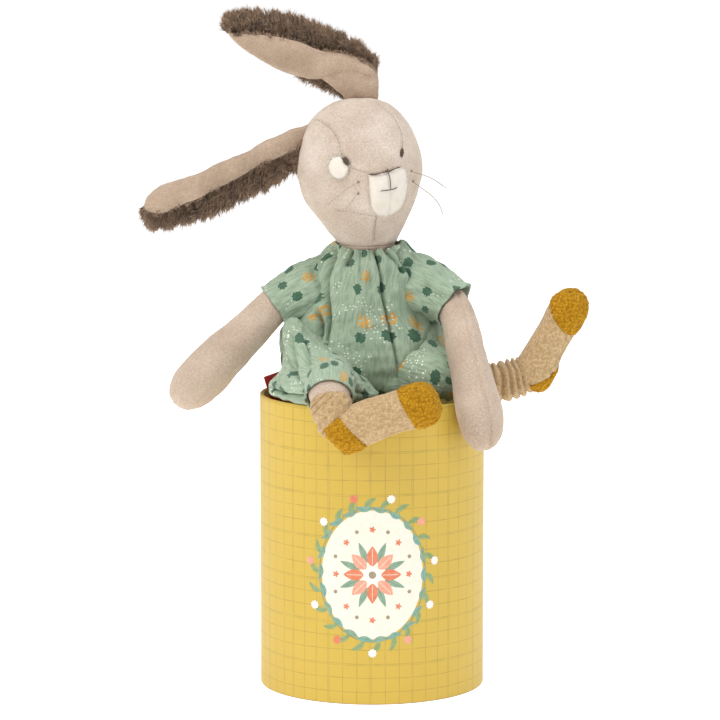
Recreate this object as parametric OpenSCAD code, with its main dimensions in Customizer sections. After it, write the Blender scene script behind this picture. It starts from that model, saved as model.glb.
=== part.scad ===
// Soft rabbit doll in a muslin romper, sitting in the open mouth of a round gift drum.
// Origin: centre of the drum's foot. +Z up, -Y is the front. Millimetres.
// The doll is laid out from the rim: its points are given above the rim's height.

/* [Drum] */
// Outside diameter of the drum
drum_d = 130; // [126:1:140]
// Height of the drum
drum_h = 170; // [120:1:230]
// Wall of the board tube
tube_wall = 1.6; // [1:0.1:2.2]
// Paper wrapped round the tube, and the lining inside it
paper_t = 0.2; // [0.1:0.05:0.4]
// Thickness of the base disc
base_t = 2; // [1:0.1:4]
// How far the paper stops short of the foot and the rim
paper_stop = 0.5; // [0.2:0.1:2]

/* [Head] */
// Width of the head at the cheeks
head_w = 72; // [66:1:76]
// Depth of the head without the muzzle
head_d = 66; // [60:1:72]
// Height of the head from the neck seam to the crown
head_h = 83.5; // [76:0.5:92]
// How far the muzzle stands forward
muzzle_out = 8; // [0:0.5:12]
// Direction of the face, turned to the doll's left
face_turn = 18; // [0:1:30]
// Width of the white muzzle patch
muzzle_w = 24; // [16:1:28]
// Height of the white muzzle patch
muzzle_h = 29; // [20:1:32]
// Diameter of the white cheek patch
cheek_d = 13; // [8:1:18]
// Width of an embroidered eye
eye_w = 3.4; // [2:0.2:5]
// Height of an embroidered eye
eye_h = 5.2; // [3:0.2:7]
// Thickness of a patch or of embroidery on the skin
patch_t = 0.9; // [0.5:0.1:1.5]
// Thickness of a whisker
whisker_d = 0.6; // [0.4:0.1:1]

/* [Ears] */
// Length of the ear's front fold, across the ear
ear_front = 12; // [9:1:14]
// Length of the ear's back, across the ear
ear_back = 29; // [22:1:32]
// Half the depth of the folded ear
ear_depth = 6; // [5:0.5:7]
// Thickness of the long fur that lines the ear
fur_t = 4; // [3:0.5:4.5]

/* [Body] */
// Thickness of the plush skin
skin_t = 1.1; // [0.7:0.1:1.5]
// Width of the stuffed body at the hips
torso_w = 60; // [50:1:62]
// Diameter of the neck
neck_d = 33; // [28:1:36]
// Diameter of an upper arm
arm_d = 20.5; // [16:0.5:22]
// Diameter of a hand
hand_d = 26.5; // [20:0.5:28]
// Diameter of a thigh
thigh_d = 23; // [18:0.5:23]
// Diameter of an ankle inside the sock
ankle_d = 12; // [9:0.5:13]
// Diameter of a foot in its sock
foot_d = 25; // [20:0.5:26]

/* [Clothes] */
// Thickness of the double muslin
muslin_t = 1.2; // [0.8:0.1:1.5]
// Width of the romper where it puffs out at the waist
romper_w = 99; // [90:1:102]
// Diameter of the opening of a sleeve
sleeve_d = 26; // [24.5:0.5:28]
// Diameter of the gathered hem of a trouser leg
hem_d = 30.4; // [29:0.2:32]
// Thickness of an elastic
elastic_d = 1.6; // [1:0.1:1.8]
// Diameter of the gathered part of a sock
ruche_d = 17; // [15:0.5:19]

/* [Hang tag] */
// Width of the card
tag_w = 16; // [10:1:18]
// Height of the card
tag_h = 28; // [18:1:30]
// Thickness of the card
tag_t = 0.8; // [0.4:0.1:1.5]
// Diameter of its string
string_d = 1; // [0.6:0.1:1.5]

/* [Hidden] */
// Clearances
glue = 0.05;            // glued paper to board
soft_gap = 0.3;         // between two soft pieces on one body
joint_gap = 0.4;        // between two bodies
rest_gap = 0.3;         // a limb above the rim that it lies on
// Facets
sides = 16;
$fn = 96;

drum_r = drum_d / 2;
tube_r = drum_r - paper_t - glue;
bore_r = tube_r - tube_wall;
mouth_r = bore_r - glue - paper_t;

// Heights above the rim of the doll's main points
hip_z = thigh_d / 2 + 2.5;
neck_z = 86.3;
hip_right = [-24, 0, hip_z];
hip_left = [18, 0, hip_z];
hip_reach = 15.5;
shoulder_right = [-38, 10, 63];
shoulder_left = [29, 6, 64];
shoulder_reach = 17;
crown_z = neck_z + head_h;

// How far in front of the drum's axis the hanging foot and hand lie
foot_y = -(drum_r + foot_d / 2 + 1.8);
hand_out = drum_r + hand_d / 2 + 3;

velour = "#C7B29D";
muslin = "#A3BCA3";
wool = "#CDB28C";
ochre = "#D9A21E";
thread = "#4A382E";
wadding = "#F2EEE6";
cream = "#F4EEE4";

// ---------- building soft forms ----------

// Closed solid through a list of rings with as many points each.
module loft(rings, looped = false) {
    rows = len(rings);
    cols = len(rings[0]);
    last = looped ? rows - 1 : rows - 2;
    walls = [for (i = [0 : last]) for (j = [0 : cols - 1])
        let (k = (i + 1) % rows, m = (j + 1) % cols)
        each [[i * cols + j, k * cols + m, k * cols + j], [i * cols + j, i * cols + m, k * cols + m]]];
    foot_cap = [for (j = [1 : cols - 2]) [0, j + 1, j]];
    top = (rows - 1) * cols;
    head_cap = [for (j = [1 : cols - 2]) [top, top + j, top + j + 1]];
    polyhedron([for (r = rings) each r], looped ? walls : concat(walls, foot_cap, head_cap));
}

// Thick curved sheet between two grids of points of the same size.
module sheet(front, back) {
    rows = len(front);
    cols = len(front[0]);
    n = rows * cols;
    skin = [for (i = [0 : rows - 2]) for (j = [0 : cols - 2])
        let (a = i * cols + j, b = a + cols)
        each [[a, a + 1, b + 1], [a, b + 1, b], [n + a, n + b + 1, n + a + 1], [n + a, n + b, n + b + 1]]];
    sides_edge = [for (i = [0 : rows - 2]) let (a = i * cols, b = a + cols - 1)
        each [[a, a + cols, n + a + cols], [a, n + a + cols, n + a],
              [b, n + b, n + b + cols], [b, n + b + cols, b + cols]]];
    ends_edge = [for (j = [0 : cols - 2]) let (a = j, b = (rows - 1) * cols + j)
        each [[a, n + a, n + a + 1], [a, n + a + 1, a + 1],
              [b, b + 1, n + b + 1], [b, n + b + 1, n + b]]];
    polyhedron([for (r = concat(front, back)) each r], concat(skin, sides_edge, ends_edge));
}

function unit(v) = v / norm(v);
function reversed(list) = [for (i = [len(list) - 1 : -1 : 0]) list[i]];
function heading(c, i) = unit(c[min(i + 1, len(c) - 1)] - c[max(i - 1, 0)]);

// Ring of n points round c, square to the heading t. ra is along across, rb is square to it.
function ring(c, t, across, ra, rb, n = sides) =
    let (up = cross(across, t))
    [for (j = [0 : n - 1]) let (a = 360 * j / n) c + ra * cos(a) * across + rb * sin(a) * up];

// Directions across a path at each of its points, carried along it without a twist.
function carried(c, u, i = 0) =
    i == len(c) ? [] : let (t = heading(c, i), v = unit(u - (u * t) * t)) concat([v], carried(c, v, i + 1));

// Direction across a limb at its root: level, or to the back where the limb starts sideways.
function first_across(c) = let (t = heading(c, 0)) abs(t.x) > 0.8 ? [0, 1, 0] : [1, 0, 0];

// Rings along a limb. Each station is [centre, half width, half height].
// less shrinks the limb on all sides, and drawn_in of it is taken off both ends.
function limb(st, less = 0, drawn_in = 1) =
    let (c = [for (s = st) s[0]], m = len(st) - 1, u = carried(c, first_across(c)))
    [for (i = [0 : m])
        let (t = heading(c, i), inward = drawn_in * less * (i == 0 ? 1 : i == m ? -1 : 0))
        ring(c[i] + t * inward, t, u[i], max(st[i][1] - less, 0.6), max(st[i][2] - less, 0.6))];

// The same, open at both ends: nothing is drawn in.
function sleeve_rings(st, less = 0) = limb(st, less, 0);

// Flat ring round an upright piece. Each station is [height, x, y, half width, half depth].
function level(s, less = 0, n = sides) =
    [for (j = [0 : n - 1]) let (a = -360 * j / n)
        [s[1] + (s[3] - less) * cos(a), s[2] + (s[4] - less) * sin(a), s[0]]];

// Skin of a stuffed limb, open at its root, where it is sewn on.
module limb_skin(st) {
    inner = limb(st, skin_t);
    open_root = concat([sleeve_rings(st, skin_t)[0]], [for (i = [1 : len(inner) - 1]) inner[i]]);
    loft(concat(reversed(open_root), limb(st)));
}

module limb_filling(st) {
    loft(limb(st, skin_t + soft_gap));
}

// Cloth tube open at both ends.
module cloth_tube(st, t = muslin_t) {
    loft(concat(sleeve_rings(st), reversed(sleeve_rings(st, t))), looped = true);
}

// Round elastic on an oval, square to the heading t.
module elastic(c, t, across, ra, rb) {
    steps = 20;
    hoop = ring(c, t, across, ra, rb, steps);
    loft([for (i = [0 : steps - 1])
        let (out = unit(hoop[i] - c))
        [for (a = [300 : -60 : 0]) hoop[i] + elastic_d / 2 * (cos(a) * out + sin(a) * t)]], looped = true);
}

// Fine round strand through a list of points.
module strand(points, d) {
    u = carried(points, [0, 0, 1]);
    loft([for (i = [0 : len(points) - 1]) ring(points[i], heading(points, i), u[i], d / 2, d / 2, 6)]);
}

module seated() {
    translate([0, 0, drum_h]) children();
}

// ---------- drum ----------

module pipe(r_out, r_in, z0, z1) {
    translate([0, 0, z0]) difference() {
        cylinder(r = r_out, h = z1 - z0);
        translate([0, 0, -1]) cylinder(r = r_in, h = z1 - z0 + 2);
    }
}

module drum_tube() {
    color("#B79A72") pipe(tube_r, bore_r, 0, drum_h - paper_t - glue);
}

module drum_base() {
    color("#B79A72") cylinder(r = bore_r - glue, h = base_t);
}

// The printed paper covers the outside and turns in over the rim.
module drum_wrap() {
    color("#DEBE54") translate([0, 0, paper_stop]) difference() {
        cylinder(r = drum_r, h = drum_h - paper_stop);
        translate([0, 0, -1]) cylinder(r = tube_r + glue, h = drum_h - paper_stop - paper_t + 1);
        cylinder(r = bore_r, h = drum_h);
    }
}

module drum_lining() {
    color("#E6CF86") pipe(bore_r - glue, mouth_r, base_t + glue, drum_h - paper_stop);
}

// ---------- body ----------

function torso_stations() =
    let (w = torso_w / 2, n = neck_d / 2)
    [[-11.5, -4, 28, w * 0.5, 7], [-8, -4, 28, w * 0.73, 11], [0, -4, 28, w * 0.93, 13.6],
     [14, -4, 27.7, w, 14], [28, -4, 27, w, 15.2], [40, -4, 21, w * 0.9, 17],
     [48, -4, 17.5, w * 0.66, 17], [55, -4, 15, w * 0.56, 16], [63, -4, 13.3, w * 0.5, 15],
     [71, -3.5, 11.5, w * 0.5, 14.5], [79, -3, 9.5, n - 1, n - 1], [neck_z - joint_gap, -3, 8, n, n]];

function torso_rings(less) =
    let (st = torso_stations(), m = len(st) - 1)
    [for (i = [0 : m]) level([st[i][0] + (i == 0 ? less : i == m ? -less : 0),
        st[i][1], st[i][2], st[i][3], st[i][4]], less)];

module torso_skin() {
    color(velour) seated() difference() {
        loft(torso_rings(0));
        loft(torso_rings(skin_t));
    }
}

module torso_filling() {
    color(wadding) seated() loft(torso_rings(skin_t + soft_gap));
}

// The romper from the seat up to the gathered neck
bodice_sides = 24;
function bodice_stations() =
    let (w = romper_w / 2)
    [[-14, -6, 29, w * 0.48, 12], [-10, -6, 29, w * 0.72, 16.3], [0, -6, 29.5, w * 0.87, 17.8],
      [15, -6, 29.5, w * 0.93, 18], [28, -6, 28, w * 0.99, 18.6], [34, -6, 25, w, 22],
     [36.5, -6, 21.5, w * 0.9, 24.8], [40, -6, 18.5, w * 0.73, 26.8], [45, -6, 16, w * 0.63, 27.8],
     [53, -5.5, 14, w * 0.61, 27.5], [61, -4.5, 12.5, w * 0.61, 26.5], [70, -3, 11.5, w * 0.61, 25.5],
     [78, -1, 9.8, w * 0.58, 23.5], [83, 0.5, 8.8, w * 0.52, 21], [neck_z - 1, 1, 8.5, w * 0.5, 20.3]];

function bodice_rings(less) =
    let (st = bodice_stations())
    [for (i = [0 : len(st) - 1]) level([st[i][0] + (i == 0 ? less : 0), st[i][1], st[i][2],
        st[i][3], st[i][4]], less, bodice_sides)];

module romper_bodice() {
    color(muslin) seated() difference() {
        loft(concat(bodice_rings(0), reversed(bodice_rings(muslin_t))));
        translate(shoulder_right) sphere(r = shoulder_reach + joint_gap);
        translate(shoulder_left) sphere(r = shoulder_reach + joint_gap);
        translate([-45, hip_right.y, hip_z]) rotate([0, 90, 0])
            cylinder(r = hip_reach + joint_gap, h = 42);
        translate([hip_left.x, hip_left.y, -2]) cylinder(r = hip_reach + joint_gap, h = 34);
    }
}

module neck_elastic() {
    s = bodice_stations()[13];
    inset = muslin_t + soft_gap + elastic_d / 2;
    color("#E9E4D8") seated()
        elastic([s[1], s[2], s[0]], [0, 0, 1], [1, 0, 0], s[3] - inset, s[4] - inset);
}

// ---------- hang tag ----------

tag_place = [-52, 16, -4];
tag_tilt = -17;
tag_turn = 18;
tag_hole_d = 3;
tag_margin = 4;

module on_tag() {
    seated() translate(tag_place) rotate([0, 0, tag_turn]) rotate([0, tag_tilt, 0]) children();
}

module hang_tag() {
    color("#B8262B") on_tag() difference() {
        translate([-tag_w / 2, -tag_t / 2, -tag_h / 2]) cube([tag_w, tag_t, tag_h]);
        translate([0, 0, tag_h / 2 - tag_margin]) rotate([90, 0, 0])
            cylinder(d = tag_hole_d, h = 4 * tag_t, center = true);
    }
}

// Route of the short string from the card's hole to the romper's side seam
tag_string_points = [[-55.2, 14, 5.4], [-54.8, 15.1, 5.6], [-54.3, 16.6, 5.8], [-53.6, 20, 6.9], [-52.9, 24, 8.2],
    [-52.2, 27.5, 8.8]];

module tag_string() {
    color("white") seated() strand(tag_string_points, string_d);
}

// ---------- head ----------

// Height above the neck seam, middle and half sizes, as shares of the head's height, width and depth
head_profile = [[0, -3, 8, 0.465, 0.5], [0.09, -3, 7.5, 0.6, 0.63], [0.19, -3.5, 7, 0.74, 0.76],
    [0.35, -4, 6.5, 0.915, 0.93], [0.52, -5.5, 6.5, 1, 1], [0.66, -6.8, 7, 0.955, 0.97],
    [0.8, -7.8, 8, 0.83, 0.86], [0.9, -7.8, 9, 0.65, 0.69], [0.965, -7, 10, 0.4, 0.44],
    [1, -6.5, 10.5, 0.14, 0.16]];
head_sides = 24;
face_a = -90 + face_turn;

function along(h, k) = lookup(h, [for (s = head_profile) [s[0], s[k]]]);
function muzzle_at(h) = muzzle_out * lookup(h, [[0, 0], [0.14, 0.35], [0.3, 0.9], [0.45, 1], [0.58, 0.45],
    [0.75, 0]]);
// Point on the head at height h (a share) and bearing a, moved out by off
function head_point(h, a, off = 0) =
    let (rx = along(h, 3) * head_w / 2, ry = along(h, 4) * head_d / 2,
         nose = muzzle_at(h) * pow(max(cos(a - face_a), 0), 5))
    [along(h, 1) + (rx + off) * cos(a) + nose * cos(face_a),
     along(h, 2) + (ry + off) * sin(a) + nose * sin(face_a),
     neck_z + h * head_h];

function head_rings(less) =
    [for (i = [0 : len(head_profile) - 1]) let (h = head_profile[i][0])
        [for (j = [0 : head_sides - 1])
            let (p = head_point(h, -360 * j / head_sides, -min(less, along(h, 4) * head_d / 2 - 1)))
            p + [0, 0, i == 0 ? less : i == len(head_profile) - 1 ? -less : 0]]];

module head_skin() {
    color(velour) seated() difference() {
        loft(head_rings(0));
        loft(head_rings(skin_t));
    }
}

module head_filling() {
    color(wadding) seated() loft(head_rings(skin_t + soft_gap));
}

// Rings of a patch that follows the head: half width in mm, half height as a share.
// taper narrows its lower edge.
patch_sides = 12;
function patch_ring(k, off, h0, a0, half_w, half_h, taper) =
    [for (j = [0 : patch_sides - 1])
        let (t = 360 * j / patch_sides, up = k * half_h * sin(t), narrow = 1 + taper * sin(t),
             swing = k * half_w * narrow * cos(t) / (along(h0, 3) * head_w / 2) * 180 / PI)
        head_point(h0 + up, a0 - swing, off)];

module patch(h0, a0, half_w, half_h, lift = 0, t = patch_t, taper = 0) {
    inner = soft_gap + 0.2 + lift;
    loft(concat(
        [for (k = [0.15, 0.6, 0.9]) patch_ring(k, inner, h0, a0, half_w, half_h, taper)],
        [patch_ring(1, inner + t / 2, h0, a0, half_w, half_h, taper)],
        [for (k = [0.9, 0.6, 0.15]) patch_ring(k, inner + t, h0, a0, half_w, half_h, taper)]));
}

muzzle_mid = 0.39;
muzzle_a = face_a;

module muzzle_patch() {
    color(cream) seated() patch(muzzle_mid, muzzle_a, muzzle_w / 2, muzzle_h / 2 / head_h, taper = 0.28);
}

module cheek_patch() {
    color("white") seated() patch(0.555, -113, cheek_d / 2, cheek_d / 2 / head_h);
}

module eye(h, a, lift) {
    color(thread) seated() patch(h, a, eye_w / 2, eye_h / 2 / head_h, lift);
}

module eye_right() {
    eye(0.6, -103, patch_t + soft_gap);
}

module eye_left() {
    eye(0.66, -50, 0);
}

// Embroidery lies on the muzzle patch
module face_stitch(marks) {
    color(thread) seated() strand([for (m = marks) head_point(m[0], muzzle_a + m[1],
        2 * soft_gap + 0.5 + patch_t + stitch_d / 2)], stitch_d);
}
stitch_d = 0.9;

module nose_stitch() {
    face_stitch([[0.545, -14], [0.552, -7], [0.557, 0], [0.566, 8], [0.575, 16]]);
}

module mouth_stitch() {
    face_stitch([[0.405, -9], [0.415, -3], [0.42, 2], [0.43, 8]]);
}

module whisker(h, a, droop) {
    root = head_point(h, a, 0.5);
    out = unit([cos(a), sin(a), 0]);
    strand([for (k = [0 : 4]) root + out * k * 7.5 + [0, 0, -droop * k * k]], whisker_d);
}

module whiskers_right() {
    color("#8A7A6C") seated() {
        whisker(0.47, -118, 1.1);
        whisker(0.4, -122, 1.4);
    }
}

module whiskers_left() {
    color("#8A7A6C") seated() {
        whisker(0.52, -32, 0.9);
        whisker(0.45, -30, 1.4);
    }
}

// ---------- ears ----------

// The ear is folded along its length: a short front, a long back, fur inside.
// Each point is [share of the way across, depth as a share], front edge first.
function ear_outside() = [[ear_front, -1], [ear_front / 2, -0.87], [0, -0.45], [0, 0.45],
    [ear_back / 3, 0.92], [ear_back * 0.68, 1], [ear_back, 0.85]];
// Inside face of the velour, moved in by t
function ear_inside(t) = let (o = ear_outside(), d = t / ear_depth)
    [for (j = [0 : 6]) [o[j].x + (j == 2 || j == 3 ? t : 0), o[j].y + (j < 3 ? d : -d)]];
// Fur follows the inside of the velour; its face is nearly flat
function ear_fur_face() = let (d = fur_t / ear_depth, near = skin_t + soft_gap + 2)
    [for (p = [[ear_front, -1 + 0.55 * d], [ear_front / 2 + 1, -0.87 + 0.65 * d], [near, -0.12], [near + 0.6, -0.06],
        [ear_back / 3, 0.92 - 1.25 * d], [ear_back * 0.68, 1 - 1.4 * d], [ear_back + 2, 0.7 - 1.2 * d]]) p];

// A station is [point on the fold, direction across, width, depth, direction of the depth]
function ear_grid(st, profile) = [for (s = st)
    [for (p = profile) s[0] + unit(s[1]) * p.x * s[2] + unit(s[4]) * p.y * s[3] * ear_depth]];

back = [0, 1, 0];
ear_right_root = [-40.1, 4, 153.4];
ear_right_st = [[ear_right_root, [-0.14, 0, -1], 0.86, 0.2, back],
    [[-50, 3, 150.3], [-0.28, 0, -1], 0.92, 0.8, back],
    [[-66, 1, 142.5], [-0.36, 0, -1], 0.96, 1, back],
    [[-88, -2, 132.2], [-0.38, 0, -1], 1, 1, back],
    [[-108, -5, 124.5], [-0.3, 0, -1], 0.98, 1, back],
    [[-122, -7, 119.6], [-0.22, 0, -1], 0.82, 0.9, back],
    [[-129.5, -8, 113.5], [-0.18, 0, -1], 0.5, 0.7, back],
    [[-132.5, -8.5, 108.5], [-0.1, 0, -1], 0.15, 0.4, back]];

// The right ear opens downwards and the left one upwards, so one grid faces the other way
module ear_velour(st, opens_up = false) {
    outside = ear_grid(st, ear_outside());
    inside = ear_grid(st, ear_inside(skin_t));
    sheet(opens_up ? outside : inside, opens_up ? inside : outside);
}

module ear_fur(st, opens_up = false) {
    seam = ear_grid(st, ear_inside(skin_t + soft_gap));
    pile = ear_grid(st, ear_fur_face());
    sheet(opens_up ? seam : pile, opens_up ? pile : seam);
}

module ear_velour_right() {
    color(velour) seated() ear_velour(ear_right_st);
}

module ear_fur_right() {
    color("#6E5D50") seated() ear_fur(ear_right_st);
}

// The left ear stands up, folds over at its root and lies to the doll's right.
// Its root is a flat tab sewn on the crown, seen from the front.
ear_root_w = 21;
ear_left_root = [-7, 12, crown_z + 0.9];
ear_left_st = [[[2, 12, 181.6], [-0.1, 0, 1], 0.3, 0.4, back],
    [[-7, 12, 182.3], [0.05, 0, 1], 0.58, 0.7, back],
    [[-20, 12, 182.5], [0.05, 0, 1], 0.8, 0.9, back],
    [[-34, 12, 181.6], [0, 0, 1], 1.04, 1, back],
    [[-49, 11, 183.3], [-0.1, 0, 1], 1.14, 1, back],
    [[-63, 10, 191], [-0.2, 0, 1], 0.96, 1, back],
    [[-73, 9, 198.3], [-0.25, 0, 1], 0.64, 0.9, back],
    [[-80, 9, 205.5], [-0.3, 0, 1], 0.3, 0.6, back],
    [[-83, 9, 209.6], [-0.35, 0, 1], 0.1, 0.4, back]];
ear_tab_t = 2.6;
ear_tab_h = 14;

// Flat tab of the left ear, from y = near to y = far. spread widens it to the left.
module ear_tab(near, far, spread) {
    translate([ear_left_root.x, 0, ear_left_root.z]) rotate([90, 0, 0])
        translate([0, 0, -far]) linear_extrude(far - near)
            polygon([[ear_root_w / 2, 0], [ear_root_w / 2 - 1, ear_tab_h - 3], [-10 - spread, ear_tab_h - 3],
                [-ear_root_w / 2 - spread / 2, 0]]);
}

module ear_velour_left() {
    y = ear_left_root.y;
    color(velour) seated() {
        ear_velour(ear_left_st, opens_up = true);
        ear_tab(y - 1.5, y - 1.5 + skin_t, 8);
    }
}

module ear_fur_left() {
    y = ear_left_root.y - 1.5 + skin_t + soft_gap;
    color("#6E5D50") seated() {
        ear_fur(ear_left_st, opens_up = true);
        ear_tab(y, y + 1.6, 16);
    }
}

// ---------- arms ----------

arm_r = arm_d / 2;
hand_r = hand_d / 2;
// The root turns in the armhole about the shoulder's own axis, so it is round about it
arm_right_st = [[[-19.9, 10, 63], 5, 5], [[-22, 10, 63], 7.6, 7.6], [[-31, 10, 63], 8.6, 8.6],
    [[-40, 10, 62], 9, 9], [[-48, 8.8, 57], 9.2, 9.2], [[-56, 6.5, 50.8], 9.6, 9.6],
    [[-70.5, -4, 36.8], arm_r * 1.08, arm_r * 1.08], [[-85, -12, 24], hand_r * 0.91, hand_r * 0.91],
    [[-97, -18, 12], hand_r, hand_r], [[-105, -21, 3], hand_r * 0.86, hand_r * 0.86],
    [[-109.5, -22.5, -2.5], hand_r * 0.45, hand_r * 0.45]];
sleeve_right_st = [[[-29.5, 10, 63.2], 13.2, 13.2], [[-38, 10, 63], 15.6, 15.6],
    [[-47.5, 9, 57.8], sleeve_d * 0.55, sleeve_d * 0.55], [[-55.5, 8, 51.5], sleeve_d / 2 + 0.4, sleeve_d / 2]];

hand_x = hand_out * cos(38);
hand_y = -hand_out * sin(38);
arm_left_st = [[[11.6, 6, 64], 5, 5], [[14, 6, 64], 7.6, 7.6], [[22, 6, 64], 8.6, 8.6],
    [[31, 5.5, 63], 8.8, 8.8], [[39, 1.5, 57.5], 8.8, 8.8], [[46, -4.4, 51.5], 9, 9],
    [[50.5, -20, 40], arm_r, arm_r], [[53.5, -35.5, 27], arm_r, arm_r], [[58, -44.5, 11], hand_r * 0.86, hand_r * 0.86],
    [[hand_x, hand_y, -8], hand_r * 0.98, hand_r * 0.98], [[hand_x + 2, hand_y - 2, -21], hand_r * 0.9, hand_r * 0.9],
    [[hand_x + 3, hand_y - 3, -28], hand_r * 0.45, hand_r * 0.45]];
sleeve_left_st = [[[20.5, 6, 64.2], 13.2, 13.2], [[29, 6, 64], 15.6, 15.6],
    [[38, 1.8, 58.5], sleeve_d * 0.55, sleeve_d * 0.55], [[46, -3.5, 52], sleeve_d / 2 + 0.4, sleeve_d / 2]];

module arm_skin_right() {
    color(velour) seated() limb_skin(arm_right_st);
}

module arm_filling_right() {
    color(wadding) seated() limb_filling(arm_right_st);
}

module sleeve_right() {
    color(muslin) seated() cloth_tube(sleeve_right_st);
}

module arm_skin_left() {
    color(velour) seated() limb_skin(arm_left_st);
}

module arm_filling_left() {
    color(wadding) seated() limb_filling(arm_left_st);
}

module sleeve_left() {
    color(muslin) seated() cloth_tube(sleeve_left_st);
}

// ---------- legs ----------

thigh_r = thigh_d / 2;
ankle_r = ankle_d / 2;
foot_r = foot_d / 2;
ruche_r = ruche_d / 2;
over_rim = rest_gap + thigh_r;
knit_gap = 0.3;
toe_gap = 0.15;

// Right leg: over the front of the rim, down, and the foot across the drum
rl = hip_right;
leg_right_st = [[rl + [0, 12.6, 0], thigh_r * 0.35, thigh_r * 0.35], [rl + [0, 10.5, 0], thigh_r * 0.75, thigh_r * 0.75],
    [rl + [0, 5, 0], thigh_r, thigh_r], [[-24, -25, over_rim + 0.8], thigh_r, thigh_r],
    [[-24, -52, over_rim + 0.4], thigh_r * 0.98, thigh_r * 0.98], [[-24, foot_y + 19, rest_gap + thigh_r * 0.88], thigh_r * 0.88, thigh_r * 0.88],
    [[-24.5, foot_y + 8.5, 8.5], thigh_r * 0.72, thigh_r * 0.72], [[-25, foot_y + 3, 0.5], ankle_r, ankle_r],
    [[-23.5, foot_y + 1, -7], ankle_r, ankle_r], [[-15.5, foot_y, -10.5], ankle_r, ankle_r],
    [[-5, foot_y, -7.5], ankle_r * 1.1, ankle_r * 1.1], [[8, foot_y + 0.5, -2.5], ankle_r * 1.2, ankle_r * 1.2],
    [[22, foot_y + 2, 1.5], ankle_r * 1.2, ankle_r * 1.2], [[30, foot_y + 3, 3.5], ankle_r * 0.6, ankle_r * 0.6]];
ruche_right_st = [[[-24.4, foot_y + 9.5, 9.5], thigh_r * 0.95, thigh_r * 0.95], [[-25, foot_y + 5, 3], ruche_r, ruche_r],
    [[-25, foot_y + 3, -3], ruche_r * 1.02, ruche_r * 1.02], [[-22, foot_y + 1.5, -8.5], ruche_r, ruche_r]];
foot_right_st = [[[-21.5, foot_y, -14.5], foot_r * 0.42, foot_r * 0.42], [[-19, foot_y, -13.2], foot_r * 0.78, foot_r * 0.78],
    [[-13.5, foot_y, -10.8], foot_r, foot_r], [[-1, foot_y, -5], foot_r * 0.98, foot_r * 0.98],
    [[13, foot_y + 1, -0.3], foot_r * 0.88, foot_r * 0.88], [[23, foot_y + 2.5, 2.5], foot_r * 0.88, foot_r * 0.88],
    [[31, foot_y + 3.5, 4.5], foot_r * 0.7, foot_r * 0.7], [[35, foot_y + 4, 5.5], foot_r * 0.32, foot_r * 0.32]];

// Left leg: over the rim to the doll's left, the foot turned up
ll = hip_left;
left_out = drum_r + 14;
leg_left_st = [[ll + [-5.6, 11.2, 0], thigh_r * 0.35, thigh_r * 0.35], [ll + [-4.7, 9.3, 0], thigh_r * 0.75, thigh_r * 0.75],
    [ll + [-2.2, 4.4, 0], thigh_r, thigh_r], [[28, -14, over_rim + 0.8], thigh_r, thigh_r],
    [[40, -20, over_rim + 0.4], thigh_r * 0.96, thigh_r * 0.96], [[54, -17.5, rest_gap + thigh_r * 0.94], thigh_r * 0.94, thigh_r * 0.94],
    [[left_out - 11, -15.5, rest_gap + thigh_r * 0.88], thigh_r * 0.88, thigh_r * 0.88], [[left_out + 1, -15, 9.8], ankle_r * 1.1, ankle_r * 1.1],
    [[left_out + 12, -15, 10.2], ankle_r, ankle_r], [[left_out + 19.5, -15, 16], ankle_r, ankle_r],
    [[left_out + 23.5, -15, 26], ankle_r * 1.1, ankle_r * 1.1], [[left_out + 29, -15, 38], ankle_r * 1.2, ankle_r * 1.2],
    [[left_out + 34, -15, 48], ankle_r * 1.1, ankle_r * 1.1], [[left_out + 37, -15, 54], ankle_r * 0.6, ankle_r * 0.6]];
ruche_left_st = [[[left_out - 8.5, -15.3, over_rim - 0.7], thigh_r * 1.1, thigh_r * 1.1], [[left_out - 2, -15, 10], thigh_r * 1.14, thigh_r * 1.14],
    [[left_out + 6, -15, 9.3], thigh_r * 1.1, thigh_r * 1.1], [[left_out + 15, -15, 11], ruche_r, ruche_r]];
foot_left_st = [[[left_out + 11.5, -15, 4.5], foot_r * 0.42, foot_r * 0.42], [[left_out + 13, -15, 7.2], foot_r * 0.78, foot_r * 0.78],
    [[left_out + 16, -15, 13], foot_r * 0.98, foot_r * 0.98], [[left_out + 21.5, -15, 24.5], foot_r * 0.94, foot_r * 0.94],
    [[left_out + 27, -15, 35.5], foot_r * 0.9, foot_r * 0.9], [[left_out + 32, -15, 45], foot_r * 0.94, foot_r * 0.94],
    [[left_out + 36.5, -15, 52.5], foot_r * 0.74, foot_r * 0.74], [[left_out + 39, -15, 56.5], foot_r * 0.32, foot_r * 0.32]];
// Stations of the foot where the heel ends and the toe begins
heel_end = 2;
toe_start = 4;

function part_of(st, a, b) = [for (i = [a : b]) st[i]];

module leg_skin_right() {
    color(velour) seated() limb_skin(leg_right_st);
}

module leg_filling_right() {
    color(wadding) seated() limb_filling(leg_right_st);
}

// Solid that the sock leaves free for the leg inside it
module leg_space(st) {
    loft(limb(st, -knit_gap));
}

module knit_foot(foot_st, ruche_st, leg_st) {
    rings = limb(foot_st);
    difference() {
        union() {
            loft(part_of(rings, heel_end, toe_start));
            loft(sleeve_rings(ruche_st));
        }
        leg_space(leg_st);
    }
}

module terry_heel(foot_st, ruche_st, leg_st) {
    rings = limb(foot_st, toe_gap);
    difference() {
        loft(part_of(rings, 0, heel_end));
        loft(sleeve_rings(ruche_st, -knit_gap));
        leg_space(leg_st);
    }
}

module terry_toe(foot_st, leg_st) {
    rings = limb(foot_st);
    difference() {
        loft(part_of(rings, toe_start, len(rings) - 1));
        leg_space(leg_st);
    }
}

module sock_right() {
    color(wool) seated() knit_foot(foot_right_st, ruche_right_st, leg_right_st);
}

module sock_heel_right() {
    color(ochre) seated() terry_heel(foot_right_st, ruche_right_st, leg_right_st);
}

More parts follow.
